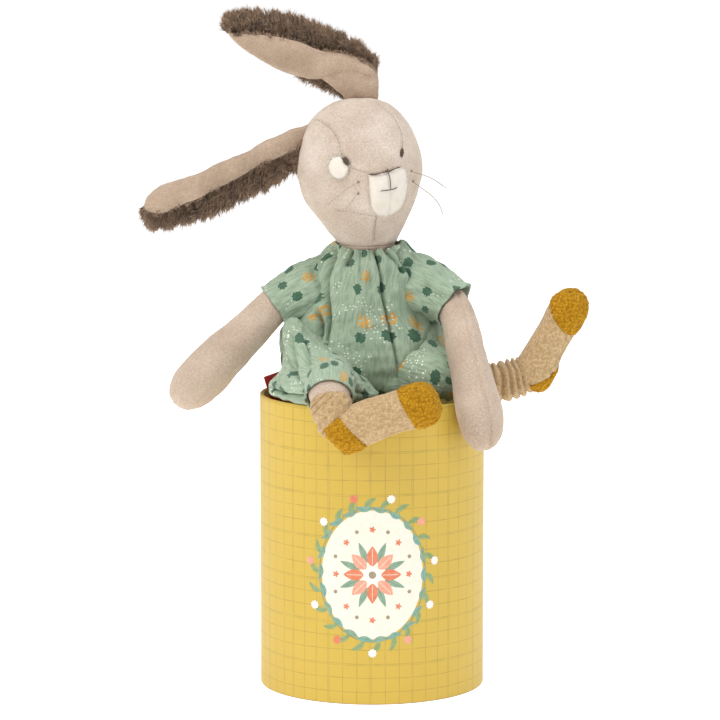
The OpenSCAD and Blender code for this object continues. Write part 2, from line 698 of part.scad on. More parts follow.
module sock_toe_right() {
    color(ochre) seated() terry_toe(foot_right_st, leg_right_st);
}

hem_r = hem_d / 2;
hem_z = over_rim + 0.4;
trouser_right_st = [[[-24.5, 3, 14], hem_r, hem_r - 0.2], [[-28, -6, 15.8], 25, 17], [[-31, -20, 16.6], 28.5, 18],
    [[-29, -36, 16], 26, 17.8], [[-25, -45, hem_z + 1], 19.5, hem_r + 1], [[-24, -51, hem_z], hem_r, hem_r]];
trouser_left_st = [[[16.6, 2.4, 14], hem_r, hem_r - 0.2], [[21.5, -5.5, 15.5], 20.5, 16.5], [[27, -12, 16.4], 23, 17.6],
    [[32.5, -15.8, hem_z + 1], 19.5, 16.6], [[37.5, -18.6, hem_z], hem_r, hem_r]];

module trouser_elastic(st) {
    m = len(st) - 1;
    t = unit(st[m][0] - st[m - 1][0]);
    inset = muslin_t + soft_gap + elastic_d / 2;
    across = unit(cross(t, [0, 0, 1]));
    color("#E9E4D8") elastic(st[m][0] - t * elastic_d, t, across, st[m][1] - inset, st[m][2] - inset);
}

module trouser_right() {
    color(muslin) seated() cloth_tube(trouser_right_st);
}

module leg_elastic_right() {
    seated() trouser_elastic(trouser_right_st);
}

module leg_skin_left() {
    color(velour) seated() limb_skin(leg_left_st);
}

module leg_filling_left() {
    color(wadding) seated() limb_filling(leg_left_st);
}

module sock_left() {
    color(wool) seated() knit_foot(foot_left_st, ruche_left_st, leg_left_st);
}

module sock_heel_left() {
    color(ochre) seated() terry_heel(foot_left_st, ruche_left_st, leg_left_st);
}

module sock_toe_left() {
    color(ochre) seated() terry_toe(foot_left_st, leg_left_st);
}

module trouser_left() {
    color(muslin) seated() cloth_tube(trouser_left_st);
}

module leg_elastic_left() {
    seated() trouser_elastic(trouser_left_st);
}

drum_tube();
drum_base();
drum_wrap();
drum_lining();
torso_skin();
torso_filling();
romper_bodice();
neck_elastic();
hang_tag();
tag_string();
head_skin();
head_filling();
muzzle_patch();
cheek_patch();
eye_right();
eye_left();
nose_stitch();
mouth_stitch();
whiskers_right();
whiskers_left();
ear_velour_right();
ear_fur_right();
ear_velour_left();
ear_fur_left();
arm_skin_right();
arm_filling_right();
sleeve_right();
arm_skin_left();
arm_filling_left();
sleeve_left();
leg_skin_right();
leg_filling_right();
sock_right();
sock_heel_right();
sock_toe_right();
trouser_right();
leg_elastic_right();
leg_skin_left();
leg_filling_left();
sock_left();
sock_heel_left();
sock_toe_left();
trouser_left();
leg_elastic_left();
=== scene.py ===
"""Soft rabbit doll sitting in the open mouth of a round board gift drum.

Sizes are in millimetres, laid out from the centre of the drum's foot, with the front towards -Y.
"""

import math
import random

import bmesh
import bpy
import numpy as np
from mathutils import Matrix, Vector
from mathutils.bvhtree import BVHTree


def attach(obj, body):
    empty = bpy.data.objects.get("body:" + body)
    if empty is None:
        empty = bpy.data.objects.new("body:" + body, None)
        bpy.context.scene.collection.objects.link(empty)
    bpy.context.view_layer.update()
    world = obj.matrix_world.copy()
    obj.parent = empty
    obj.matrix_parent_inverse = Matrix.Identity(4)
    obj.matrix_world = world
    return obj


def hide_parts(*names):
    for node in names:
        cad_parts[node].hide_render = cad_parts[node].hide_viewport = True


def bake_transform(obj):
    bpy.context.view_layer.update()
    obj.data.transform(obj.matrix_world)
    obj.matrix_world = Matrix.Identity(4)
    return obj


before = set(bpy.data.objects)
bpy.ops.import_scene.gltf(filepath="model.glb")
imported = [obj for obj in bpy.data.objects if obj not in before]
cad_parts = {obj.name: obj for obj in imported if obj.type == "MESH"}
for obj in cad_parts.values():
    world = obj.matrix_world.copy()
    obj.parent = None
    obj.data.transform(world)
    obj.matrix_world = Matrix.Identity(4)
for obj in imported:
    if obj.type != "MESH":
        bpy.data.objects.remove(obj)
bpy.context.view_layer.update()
scene = bpy.context.scene

# Camera and room
# A long lens a little under two metres away, looking slightly down on the drum, in a plain pale
# room with a window light from the front left, a soft ceiling light and a weak one from the right.


def aimed(made, place, target):
    """Puts a camera or lamp into the scene at a place, turned towards a target. Both are in metres."""
    scene.collection.objects.link(made)
    made.location = place
    made.rotation_euler = (Vector(target) - made.location).to_track_quat("-Z", "Y").to_euler()


lens = bpy.data.cameras.new("studio_camera")
lens.sensor_width = 36
lens.lens = 168.3
camera = bpy.data.objects.new("studio_camera", lens)
aimed(camera, (-0.007, -1.9316, 0.4483), (-0.007, 0, 0.18875))
scene.camera = camera
scene.view_settings.view_transform = "Standard"


def linear(code):
    """Linear colour of an sRGB hex value."""
    parts = [int(code[i:i + 2], 16) / 255 for i in (1, 3, 5)]
    return [p / 12.92 if p <= 0.04045 else ((p + 0.055) / 1.055) ** 2.4 for p in parts] + [1.0]


def put(tree, kind, settings, **sockets):
    """Adds a node with its settings, and joins or fills its sockets. A name may use _ for a space."""
    node = tree.nodes.new("ShaderNode" + kind)
    for key, value in settings.items():
        setattr(node, key, value)
    for key, value in sockets.items():
        socket = node.inputs[int(key[1:]) if key[1:].isdigit() else key.replace("_", " ")]
        if isinstance(value, bpy.types.NodeSocket):
            tree.links.new(value, socket)
        else:
            socket.default_value = value
    return node


def ranged(tree, value, low, high, to_low=0.0, to_high=1.0):
    """A value stretched from one range to another and held there."""
    return put(tree, "MapRange", {}, Value=value, From_Min=low, From_Max=high, To_Min=to_low,
               To_Max=to_high).outputs[0]


def finish_named(name):
    """A new material with an empty node tree, and that tree."""
    made = bpy.data.materials.new(name)
    made.use_nodes = True
    made.node_tree.nodes.clear()
    return made, made.node_tree


def shade(tree, bump=None, strength=0.4, depth=0.0003, **sockets):
    """Closes a material with one surface shader, and a bump where a height is given."""
    if bump is not None:
        sockets["Normal"] = put(tree, "Bump", {}, Strength=strength, Distance=depth, Height=bump).outputs[0]
    surface = put(tree, "BsdfPrincipled", {}, **sockets)
    put(tree, "OutputMaterial", {}, Surface=surface.outputs[0])


for name, place, size, watts, tint in (("window", (-2.1, -1.4, 1.9), 1.5, 37, "#FFFAF4"),
                                       ("bounce", (2.2, -1.0, 1.4), 2.2, 13, "#F8FBFF"),
                                       ("ceiling", (0.1, -0.3, 2.3), 2.0, 36, "#FFFFFF")):
    lamp = bpy.data.lights.new(name, "AREA")
    lamp.shape = "DISK"
    lamp.size = size
    lamp.energy = watts
    lamp.color = linear(tint)[:3]
    aimed(bpy.data.objects.new(name, lamp), place, (0, 0, 0.2))

# The room lights softly, but is white where it is seen past the paper's far edge.
room = bpy.data.worlds.new("pale_room")
room.use_nodes = True
backdrop = room.node_tree.nodes["Background"]
backdrop.inputs["Color"].default_value = linear("#FCFDFF")
seen = put(room.node_tree, "LightPath", {}).outputs["Is Camera Ray"]
room.node_tree.links.new(ranged(room.node_tree, seen, 0.0, 1.0, 0.41, 1.1), backdrop.inputs["Strength"])
scene.world = room

# The white paper sweep glows a little, so that it stays white under the drum and far off.
paper_sweep, tree = finish_named("white_paper_sweep")
shade(tree, Base_Color=linear("#F7F7F6"), Roughness=0.9, Emission_Color=linear("#FFFFFF"), Emission_Strength=0.66)
reach = 40.0
floor_mesh = bpy.data.meshes.new("floor")
floor_mesh.from_pydata([(-reach, -reach, 0), (reach, -reach, 0), (-reach, reach, 0), (reach, reach, 0)], [],
                       [(0, 1, 3, 2)])
floor_mesh.materials.append(paper_sweep)
floor = bpy.data.objects.new("floor", floor_mesh)
scene.collection.objects.link(floor)

# Drum's printed paper
# One sheet of uncoated printed paper is glued round the board tube and turned in over the rim.
# The print is a hand-ruled grid, thin olive lines about 8 mm apart on warm yellow.

drum_r = 65.0
drum_h = 170.0
paper_foot = 0.5


def piece(name, verts, faces, material, body, slot, stands_for=(), uv=None):
    """A smooth mesh piece of points in millimetres, with its body if it rides on one, and the nodes it shows."""
    mesh = bpy.data.meshes.new(name)
    mesh.from_pydata((np.asarray(verts, float).reshape(-1, 3) / 1000).tolist(), [], faces)
    mesh.materials.append(material)
    mesh.shade_smooth()
    if uv is not None:
        loops = np.empty(len(mesh.loops), int)
        mesh.loops.foreach_get("vertex_index", loops)
        layer = mesh.uv_layers.new(name="lay")
        layer.data.foreach_set("uv", (np.asarray(uv, float).reshape(-1, 2)[loops] / 1000).ravel())
    made = bpy.data.objects.new(name, mesh)
    scene.collection.objects.link(made)
    if body:
        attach(made, body)
    if stands_for:
        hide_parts(*stands_for)
    return made


def woven(rows, cols, round_cols=True, flip=False):
    """Quads of a grid of points, closed round its columns or open."""
    faces = []
    for i in range(rows - 1):
        for j in range(cols if round_cols else cols - 1):
            k = (j + 1) % cols
            face = (i * cols + j, i * cols + k, (i + 1) * cols + k, (i + 1) * cols + j)
            faces.append(face[::-1] if flip else face)
    return faces


def run_along(points):
    """Distance from the first point to each along the line through them."""
    return np.concatenate([[0], np.cumsum(np.linalg.norm(np.diff(points, axis=0), axis=1))])


def calc(tree, operation, *values, kind="Math"):
    """The result of one operation on numbers and sockets, or on vectors."""
    node = put(tree, kind, {"operation": operation}, **{f"i{k}": value for k, value in enumerate(values)})
    return node.outputs["Value" if operation == "LENGTH" else 0]


def noise(tree, where, scale, detail=2.0, flat=False, **sockets):
    """Level of a noise, in three dimensions or in a cloth's two."""
    settings = {"noise_dimensions": "2D"} if flat else {}
    return put(tree, "TexNoise", settings, Vector=where, Scale=scale, Detail=detail, **sockets).outputs["Fac"]


def toned(tree, share, first, second):
    """A colour part of the way from the first to the second, each a hex value, a colour or a socket."""
    first, second = (linear(c) if isinstance(c, str) else c for c in (first, second))
    return put(tree, "Mix", {"data_type": "RGBA"}, Factor=share, i6=first, i7=second).outputs[2]


printed_paper, tree = finish_named("printed_paper")
lay = put(tree, "UVMap", {"uv_map": "lay"}).outputs[0]
wander = put(tree, "TexNoise", {}, Vector=lay, Scale=28.0, Detail=2.0).outputs["Color"]
hand_drawn = calc(tree, "MULTIPLY_ADD", wander, (0.0016, 0.0016, 0), lay, kind="VectorMath")
# The lines are about 0.45 mm wide at half strength, a little wider than the pen's, so that they show.
# Every third one is gone over again, just beside the first stroke.
ruled = None
for pitch, half_width, shift in ((0.0081, 0.00036, 0.0), (0.0243, 0.00026, 0.0009)):
    for axis in (0, 1):
        parts = put(tree, "SeparateXYZ", {}, Vector=hand_drawn)
        moved = calc(tree, "ADD", parts.outputs[axis], shift + pitch * 0.5)
        folded = calc(tree, "PINGPONG", moved, pitch / 2)
        line = put(tree, "MapRange", {"interpolation_type": "SMOOTHSTEP"}, Value=folded,
                   From_Min=pitch / 2 - half_width, From_Max=pitch / 2 - half_width * 0.3).outputs[0]
        ruled = line if ruled is None else calc(tree, "MAXIMUM", ruled, line)
ink = ranged(tree, noise(tree, lay, 120.0, 3.0), 0.3, 0.75, 0.2, 0.75)
ground = toned(tree, noise(tree, lay, 22.0, 4.0), "#C3A43C", "#C9AB48")
paper_colour = toned(tree, calc(tree, "MULTIPLY", ruled, ink), ground, "#93803A")
shade(tree, noise(tree, lay, 1400.0), 0.25, 0.0001, Base_Color=paper_colour, Roughness=0.5,
      Specular_IOR_Level=0.45)

turned_rim = [(drum_r, z) for z in np.linspace(paper_foot, drum_h - 1, 60)]
turned_rim += [(64.93, 169.45), (64.72, 169.8), (64.35, 169.97), (64.0, 170), (63.65, 169.96), (63.36, 169.75),
               (63.2, 169.4), (63.18, 168.9), (63.17, 168.2)]
angles = np.linspace(0, 2 * math.pi, 241) - math.pi * 1.5
verts = [(r * math.cos(a), r * math.sin(a), z) for r, z in turned_rim for a in angles]
uv = [((a + math.pi / 2) * drum_r, paper_foot + run) for run in run_along(turned_rim) for a in angles]
piece("drum_paper", verts, woven(len(turned_rim), len(angles), False), printed_paper, "drum", "printed_paper",
      ["drum_wrap"], uv)

# Board tube, base and lining
# Grey-brown spiral-wound board makes the tube, and a disc of it closes the foot. Plain yellow
# paper lines the inside. Raw board is dull and faintly fibrous.

grey_board, tree = finish_named("spiral_wound_board")
spot = put(tree, "TexCoord", {}).outputs["Object"]
pulp = noise(tree, spot, 420.0, 4.0)
shade(tree, pulp, 0.3, 0.0002, Base_Color=toned(tree, pulp, "#A98B63", "#C6AA82"), Roughness=0.88)

lining_paper, tree = finish_named("plain_lining_paper")
spot = put(tree, "TexCoord", {}).outputs["Object"]
lining_colour = toned(tree, noise(tree, spot, 60.0, 5.0), "#DFC67A", "#EBD68F")
shade(tree, noise(tree, spot, 1200.0), 0.2, 0.0001, Base_Color=lining_colour, Roughness=0.8)


def finished(node, material):
    """Gives a piece of the frame its material."""
    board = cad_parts[node]
    board.data.materials.clear()
    board.data.materials.append(material)


for node, material in (("drum_tube", grey_board), ("drum_base", grey_board), ("drum_lining", lining_paper)):
    finished(node, material)

# Printed medallion
# A cream round with a traditional eight-petalled rosette, inside a ring of leaves and berries.
# It is ink on the drum's paper, so each colour lies flat on the drum's curve.

ink_tints = {"cream": "#F2EADB", "leaf": "#7C9A55", "fern": "#6E9C84", "coral": "#E9967A", "orange": "#DC6B3A",
             "taupe": "#8F8163", "white": "#F4F1EA", "stem": "#5F7B4A", "teal": "#5FA093"}
inks = {}
for tint, code in ink_tints.items():
    inks[tint], tree = finish_named(tint + "_ink")
    spot = put(tree, "TexCoord", {}).outputs["Object"]
    pale = [c * 0.78 + 0.22 * w for c, w in zip(linear(code), linear("#F2EADB"))]
    dark = [c * 0.8 for c in linear(code)[:3]] + [1.0]
    shade(tree, Base_Color=toned(tree, noise(tree, spot, 420.0, 3.0), dark, pale), Roughness=0.6,
          Specular_IOR_Level=0.35)

medallion_z = 75.0
cream_wide, cream_high = 29.5, 37.0
wreath_wide, wreath_high = 31.0, 38.5
print_rows = {}


def printed(tint, rows, lift):
    """Adds a strip of print: rows of (s, z) points across it, s along the drum from its front."""
    verts, faces = print_rows.setdefault(tint, ([], []))
    start, cols = len(verts), len(rows[0])
    for row in rows:
        for s, z in row:
            a = s / drum_r - math.pi / 2
            verts.append(((drum_r + lift) * math.cos(a), (drum_r + lift) * math.sin(a), z + medallion_z))
    faces.extend(tuple(start + k for k in face) for face in woven(len(rows), cols, False))


def printed_round(tint, s, z, wide, high, lift, petals=0, deep=0.0):
    """A printed oval or rosette, as rings of points."""
    rows = []
    for k in np.linspace(0.02, 1, 12):
        rows.append([(s + k * wide * (1 + deep * math.cos(petals * t)) * math.cos(t),
                      z + k * high * (1 + deep * math.cos(petals * t)) * math.sin(t))
                     for t in np.linspace(0, 2 * math.pi, 97)])
    printed(tint, rows, lift)


def printed_leaf(tint, s, z, length, width, way, lift, bow, vein):
    """A printed leaf with its vein, from its stalk at (s, z), pointing the way given in degrees."""
    a = math.radians(way)
    ahead, aside = np.array([math.cos(a), math.sin(a)]), np.array([-math.sin(a), math.cos(a)])
    rows, spine = [], []
    for t in np.linspace(0, 1, 14):
        half = width / 2 * math.sin(math.pi * t ** 0.8) ** 0.9 + 0.05
        middle = np.array([s, z]) + length * (t * ahead + bow * math.sin(math.pi * t) * aside)
        rows.append([middle + side * aside for side in (-half, 0, half)])
        spine.append([middle + side * aside for side in (-0.14, 0.14)])
    printed(tint, rows, lift)
    printed(vein, spine[1:-2], lift + 0.02)


printed_round("cream", 0, 0, cream_wide, cream_high, 0.03)
for k in range(8):
    on, between = k * math.pi / 4, (k + 0.5) * math.pi / 4
    printed_leaf("coral" if k % 2 else "orange", 5 * math.cos(on), 5 * math.sin(on), 11.5, 6.5, 45 * k, 0.06, 0,
                 "cream")
    printed_leaf("fern", 7.6 * math.cos(between), 7.6 * math.sin(between), 12.5, 3.6, 45 * k + 22.5, 0.05, 0, "stem")
    printed_round("taupe", 23 * math.cos(between), 26.5 * math.sin(between), 1.1, 1.1, 0.05)
    printed_round("orange", 21 * math.cos(on), 26 * math.sin(on), 1.5, 1.5, 0.05, 5, 0.3)
printed_round("white", 0, 0, 4.8, 4.8, 0.08, 16, 0.06)
printed_round("taupe", 0, 0, 2.1, 2.1, 0.1)
chance = random.Random(7)
wreath_leaves = 44
for k in range(wreath_leaves):
    t = 2 * math.pi * k / wreath_leaves
    s, z = wreath_wide * math.cos(t), wreath_high * math.sin(t)
    # Leaves lie by turns on the outer side of the stem, leaning ahead, and on the inner side.
    lean = 92 if k % 2 else -48
    length = 8.6 + 1.8 * chance.random()
    printed_leaf(("leaf", "fern", "leaf", "teal")[k % 4], s, z, length, 3.1,
                 math.degrees(math.atan2(z, s)) + lean + chance.uniform(-8, 8), 0.07, 0.1, "stem")
    if k % 4 == 1:
        printed_round(("white", "coral", "white", "orange")[k // 4 % 4], s + 6.6 * math.cos(t), z + 6.6 * math.sin(t),
                      2.3, 2.3, 0.1, 9, 0.12)
printed("stem", [[(wreath_wide * w * math.cos(t), wreath_high * w * math.sin(t)) for w in (35.8 / 36, 36.3 / 36)]
                 for t in np.linspace(0, 2 * math.pi, 121)], 0.06)
for tint, (verts, faces) in print_rows.items():
    piece("print_" + tint, verts, faces, inks[tint], "drum", "printed_paper")

# Stuffed body
# Taupe velour sewn over loose polyester fibre, narrow at the neck and wide at the seat. It is
# seen only through the romper's openings.


def through(rows, steps):
    """Rows of numbers joined by a smooth curve, with this many steps from each to the next."""
    rows = np.array(rows, float)
    ends = np.vstack([2 * rows[0] - rows[1], rows, 2 * rows[-1] - rows[-2]])
    t = np.linspace(0, 1, steps, endpoint=False)[:, None]
    parts = [0.5 * (2 * b + (c - a) * t + (2 * a - 5 * b + 4 * c - d) * t ** 2 + (3 * b - a - 3 * c + d) * t ** 3)
             for a, b, c, d in zip(ends, ends[1:], ends[2:], ends[3:])]
    return np.vstack(parts + [rows[-1:]])


def unit(vectors):
    """Vectors of length one, along the last axis."""
    return vectors / (np.linalg.norm(vectors, axis=-1, keepdims=True) + 1e-9)


def outward(grid):
    """Unit normals of a grid closed round its columns, pointing out."""
    n = unit(np.cross(np.roll(grid, -1, 1) - np.roll(grid, 1, 1), np.gradient(grid, axis=0)))
    return n if ((grid - grid.mean(axis=1, keepdims=True)) * n).sum() > 0 else -n


def ripple(points, size, seed):
    """Smooth wandering numbers of about -1 to 1 over points, with waves of about this size."""
    rule = np.random.default_rng(seed)
    total = np.zeros(points.shape[:-1])
    for octave in (0, 1):
        for _ in range(7):
            way = rule.normal(size=3)
            way *= 2 * math.pi / (np.linalg.norm(way) * size * rule.uniform(0.7, 1.5)) * 2 ** octave
            total += np.sin(points @ way + rule.uniform(0, 7)) * 0.5 ** octave
    return total / 3.4


def closed(grid, end=True):
    """Points and faces of a grid closed round its columns, its start drawn to a point and its end too, or open."""
    rows, cols = grid.shape[:2]
    verts = [tuple(p) for p in grid.reshape(-1, 3)]
    faces = woven(rows, cols)
    for row in (0, rows - 1) if end else (0,):
        tip = len(verts)
        verts.append(tuple(grid[row].mean(axis=0)))
        for j in range(cols):
            pair = (row * cols + j, row * cols + (j + 1) % cols)
            faces.append((tip, *pair[::-1]) if row == 0 else (tip, *pair))
    return verts, faces


def faced_out(made):
    """Turns a closed piece's faces outwards."""
    work = bmesh.new()
    work.from_mesh(made.data)
    bmesh.ops.recalc_face_normals(work, faces=work.faces)
    work.to_mesh(made.data)
    work.free()
    return made


def scaled(tree, colour, share):
    """A colour made brighter or darker by a factor."""
    return put(tree, "VectorMath", {"operation": "SCALE"}, i0=colour, Scale=share).outputs[0]


def velour_finish(name, tint, pale, dark):
    """Cut-pile velour: the pile hides any thread, brushes lighter and darker, and glows at the edges."""
    made, tree = finish_named(name)
    spot = put(tree, "TexCoord", {}).outputs["Object"]
    brushed = ranged(tree, noise(tree, spot, 38.0, 4.0, Roughness=0.6), 0.32, 0.68)
    pile = noise(tree, spot, 1000.0, 3.0, Roughness=0.7)
    mixed = toned(tree, 0.25, toned(tree, brushed, dark, pale), tint)
    shade(tree, pile, 0.6, 0.0008, Base_Color=scaled(tree, mixed, ranged(tree, pile, 0.36, 0.64, 0.84, 1.12)),
          Roughness=0.92, Specular_IOR_Level=0.2, Sheen_Weight=0.35, Sheen_Roughness=0.45,
          Sheen_Tint=linear("#F6EADC"))
    return made


velour = velour_finish("cut_pile_velour", "#BBA797", "#C7B5A4", "#AE9A87")

body_rows = through([(z + drum_h, x, y, rx, ry) for z, x, y, rx, ry in (
    (-11, -4, 28, 15, 7), (-8, -4, 28, 21.9, 11), (0, -4, 28, 27.9, 13.6), (14, -4, 27.7, 30, 14),
    (28, -4, 27, 29.6, 15.2), (40, -4, 21, 26.4, 16.6), (48, -4, 17.5, 19.4, 16.6), (55, -4, 15, 16.4, 15.6),
    (63, -4, 13.3, 14.6, 14.6), (71, -3.5, 11.5, 14.6, 14.2), (79, -3, 9.5, 15.3, 15.3),
    (85.6, -3, 8, 16.2, 16.2))], 4)
turn = np.linspace(0, 2 * math.pi, 48, endpoint=False)


def upright(rows, turn):
    """Grid of level ovals: each row is height, x, y, half width and half depth."""
    return np.stack([rows[:, None, 1] + rows[:, None, 3] * np.cos(turn),
                     rows[:, None, 2] + rows[:, None, 4] * np.sin(turn),
                     np.broadcast_to(rows[:, None, 0], (len(rows), len(turn)))], axis=2)


body = faced_out(piece("body", *closed(upright(body_rows, turn)), velour, "torso", "velour",
                       ["torso_skin", "torso_filling"]))

# Arms
# Velour tubes with mitten hands, softly filled and sewn into the shoulders. One seam runs down
# the outside of each arm and round its hand.


def frames(centres, across):
    """Heading and the two directions across a path at each of its points, without a twist."""
    heading = unit(np.gradient(centres, axis=0))
    side, sides = np.array(across, float), []
    for t in heading:
        side = unit(side - (side @ t) * t)
        sides.append(side)
    return heading, np.array(sides), np.cross(np.array(sides), heading)


def limb_grid(stations, steps, around, across):
    """Grid round a limb. Each station is x, y, z, half width and half height."""
    rows = through(stations, steps)
    heading, side, up = frames(rows[:, :3], across)
    a = np.linspace(0, 2 * math.pi, around, endpoint=False)[None, :, None]
    rows = rows[:, None]
    return rows[..., :3] + rows[..., 3:4] * np.cos(a) * side[:, None] + rows[..., 4:5] * np.sin(a) * up[:, None]


def seam_groove(grid, column, deep=0.7, wide=1.1):
    """Height to press into a limb's grid along one of its columns, where two pieces are sewn."""
    rows, cols = grid.shape[:2]
    near = np.linalg.norm(grid - grid[np.arange(rows)[:, None], [[column % cols]]], axis=2)
    return -deep * np.exp(-(near / wide) ** 2) + 0.25 * deep * np.exp(-((near - 2.6 * wide) / wide) ** 2)


arms = {
    "right": [(-19.9, 10, 233, 4.4, 4.4), (-21.5, 10, 233, 7.2, 7.2), (-31, 10, 233, 8.6, 8.6),
              (-40, 10, 232, 9.2, 9.2), (-48, 8.8, 227, 9.8, 9.8), (-56, 6.5, 220.8, 10.4, 10.4),
              (-70.5, -4, 206.8, 11.6, 11.4), (-85, -12, 194, 13, 12.8), (-96, -17.6, 183, 14.2, 13.6),
              (-104.5, -20.8, 174.2, 12.8, 12.2), (-110, -22.6, 168.2, 8.2, 7.8), (-112.2, -23.2, 165.8, 2.6, 2.4)],
    "left": [(11.6, 6, 234, 4.4, 4.4), (13.2, 6, 234, 7.2, 7.2), (22, 6, 234, 8.6, 8.6), (31, 5.5, 233, 9, 9),
             (39, 1.5, 227.5, 9.2, 9.2), (46, -4.4, 221.5, 9.6, 9.6), (50.5, -20, 210, 10.6, 10.6),
             (53.3, -35, 197, 11, 11), (57.2, -44.5, 181, 12.2, 12), (60.9, -49.8, 164.8, 13.2, 13.2),
             (62.6, -51.8, 153.4, 11, 11.2), (63.6, -52.8, 146.8, 6.6, 6.8), (64, -53.2, 144.6, 2.4, 2.4)]}
for side_name, seam in (("right", 28), ("left", 20)):
    grid = limb_grid(arms[side_name], 9, 120, (0, 1, 0))
    rise = ripple(grid, 26, 41) * 0.35 + ripple(grid, 9, 42) * 0.1
    # The seam pulls in deepest round the hand.
    along = np.linspace(0, 1, len(grid))[:, None]
    hand = (1 + 0.9 * np.clip(3.8 * along - 2.2, 0, 1)) * np.clip((1 - along) * 16, 0, 1)
    rise += (seam_groove(grid, seam) + seam_groove(grid, seam + 60)) * hand
    arm = piece("arm_" + side_name, *closed(grid + outward(grid) * rise[..., None]), velour, "arm_" + side_name,
                "velour",
                ["arm_skin_" + side_name, "arm_filling_" + side_name])
    faced_out(arm)

# Legs
# Velour like the arms, full at the thigh and thin at the ankle inside the sock.

legs = {
    "right": [(-24, 12.8, 184, 3, 3), (-24, 11.5, 184, 8, 8), (-24, 5, 184, 11.3, 11.3), (-24, -25, 182.6, 11.8, 11.5),
              (-24, -52, 182.2, 12.3, 11.6), (-24, -60.5, 181.2, 12.4, 10.9), (-23.9, -69, 179, 12, 11.5),
              (-23.4, -76, 173.5, 10.3, 10.6), (-21.8, -78.2, 166, 7.6, 7.6), (-20.5, -78.3, 161, 5.6, 5.6),
              (-17, -79, 160, 3, 3)],
    "left": [(12.4, 11.2, 184, 3, 3), (13.3, 9.3, 184, 8, 8), (15.8, 4.4, 184, 11.3, 11.3),
             (28, -14, 182.6, 11.6, 11.4), (40, -20, 182.2, 11.3, 11), (54, -17.5, 180.6, 10.8, 10.6),
             (63, -15.8, 178.6, 9.6, 9.4), (72, -15.2, 178.2, 8, 8), (82, -15, 180.6, 6, 6), (90, -15, 184, 3, 3)]}
for side_name, shape in legs.items():
    grid = limb_grid(shape, 8, 72, (1, 0, 0) if side_name == "right" else (0, 1, 0))
    rise = ripple(grid, 24, 51) * 0.3
    leg = piece("leg_" + side_name, *closed(grid + outward(grid) * rise[..., None]), velour, "leg_" + side_name,
                "velour",
                ["leg_skin_" + side_name, "leg_filling_" + side_name])
    faced_out(leg)

# Romper's bodice
# Crinkled double-gauze muslin, cut wide and drawn in by elastic at the neck. Two thin plain-woven
# layers are tacked together, so the cloth puckers in fine upright lines between its folds.


def muslin_finish(name):
    """Printed double gauze: round toothed leaves, broken ochre sprigs and white seeds on sage green."""
    made, tree = finish_named(name)
    lay = put(tree, "UVMap", {"uv_map": "lay"}).outputs[0]
    flat = {"voronoi_dimensions": "2D"}
    colour = toned(tree, noise(tree, lay, 70.0, 4.0), "#8B9F88", "#A6B8A1")
    # The white seeds are printed in loose drifts, each about 0.8 mm across.
    drift = calc(tree, "GREATER_THAN", noise(tree, lay, 42.0, flat=True), 0.565)
    seeds = put(tree, "TexVoronoi", flat, Vector=lay, Scale=380.0, Randomness=0.8)
    seed_dot = calc(tree, "LESS_THAN", seeds.outputs["Distance"], 0.16)
    colour = toned(tree, calc(tree, "MULTIPLY", drift, seed_dot), colour, "#E2E7D8")
    cells = put(tree, "TexVoronoi", flat, Vector=lay, Scale=72.0, Randomness=0.95)
    local = calc(tree, "SUBTRACT", lay, cells.outputs["Position"], kind="VectorMath")
    parts = put(tree, "SeparateXYZ", {}, Vector=local).outputs
    dice = put(tree, "SeparateColor", {}, Color=cells.outputs["Color"]).outputs
    far = calc(tree, "LENGTH", local, kind="VectorMath")
    spun = calc(tree, "MULTIPLY_ADD", dice[1], 6.28, calc(tree, "ARCTAN2", parts[0], parts[1]))
    # Leaves are 5 to 7 mm across with ragged teeth; sprigs are longer and broken into petals.
    ragged = noise(tree, lay, 520.0, flat=True)
    for low, high, code, size, teeth, stretch, rough in ((-1.0, 0.5, "#456651", 0.0016, 9.0, 0.25, 0.0018),
                                                         (0.5, 0.72, "#C99A4C", 0.0004, 3.0, 3.4, 0.0046)):
        edge = calc(tree, "SINE", calc(tree, "MULTIPLY", spun, teeth))
        tall = calc(tree, "COSINE", spun)
        oval = calc(tree, "MULTIPLY_ADD", calc(tree, "MULTIPLY", tall, tall), size * stretch, size)
        toothed = calc(tree, "MULTIPLY_ADD", edge, 0.00026, oval)
        grown = calc(tree, "MULTIPLY_ADD", dice[2], 0.0009, toothed)
        inside = calc(tree, "LESS_THAN", far, calc(tree, "MULTIPLY_ADD", ragged, rough, grown))
        above, below = calc(tree, "GREATER_THAN", dice[0], low), calc(tree, "LESS_THAN", dice[0], high)
        mark = calc(tree, "MULTIPLY", inside, calc(tree, "MULTIPLY", above, below))
        if low > 0:
            petals = put(tree, "TexVoronoi", flat, Vector=lay, Scale=560.0, Randomness=0.9)
            mark = calc(tree, "MULTIPLY", mark, calc(tree, "LESS_THAN", petals.outputs["Distance"], 0.46))
        colour = toned(tree, mark, colour, code)
    # The crinkle stands about 1.8 mm apart and runs up the cloth; the threads are drawn 1 mm apart,
    # coarser than they are, so that they show.
    stretched = calc(tree, "MULTIPLY", lay, (720.0, 150.0, 0.0), kind="VectorMath")
    weave = put(tree, "TexWave", {"bands_direction": "Y"}, Vector=lay, Scale=310.0, Distortion=1.5)
    height = calc(tree, "MULTIPLY_ADD", weave.outputs["Fac"], 0.07, noise(tree, stretched, 1.0, 3.0, flat=True))
    # Painted shade: the colour is made darker in the bottom of each pucker and a little lighter on its top, so the
    # crinkle shows as fine darker lines.
    colour = scaled(tree, colour, ranged(tree, height, 0.34, 0.62, 0.8, 1.05))
    shade(tree, height, 0.7, 0.001, Base_Color=colour, Roughness=0.95, Specular_IOR_Level=0.15,
          Sheen_Weight=0.15, Sheen_Roughness=0.6)
    return made


muslin = muslin_finish("double_gauze_muslin")
muslin_t = 1.1


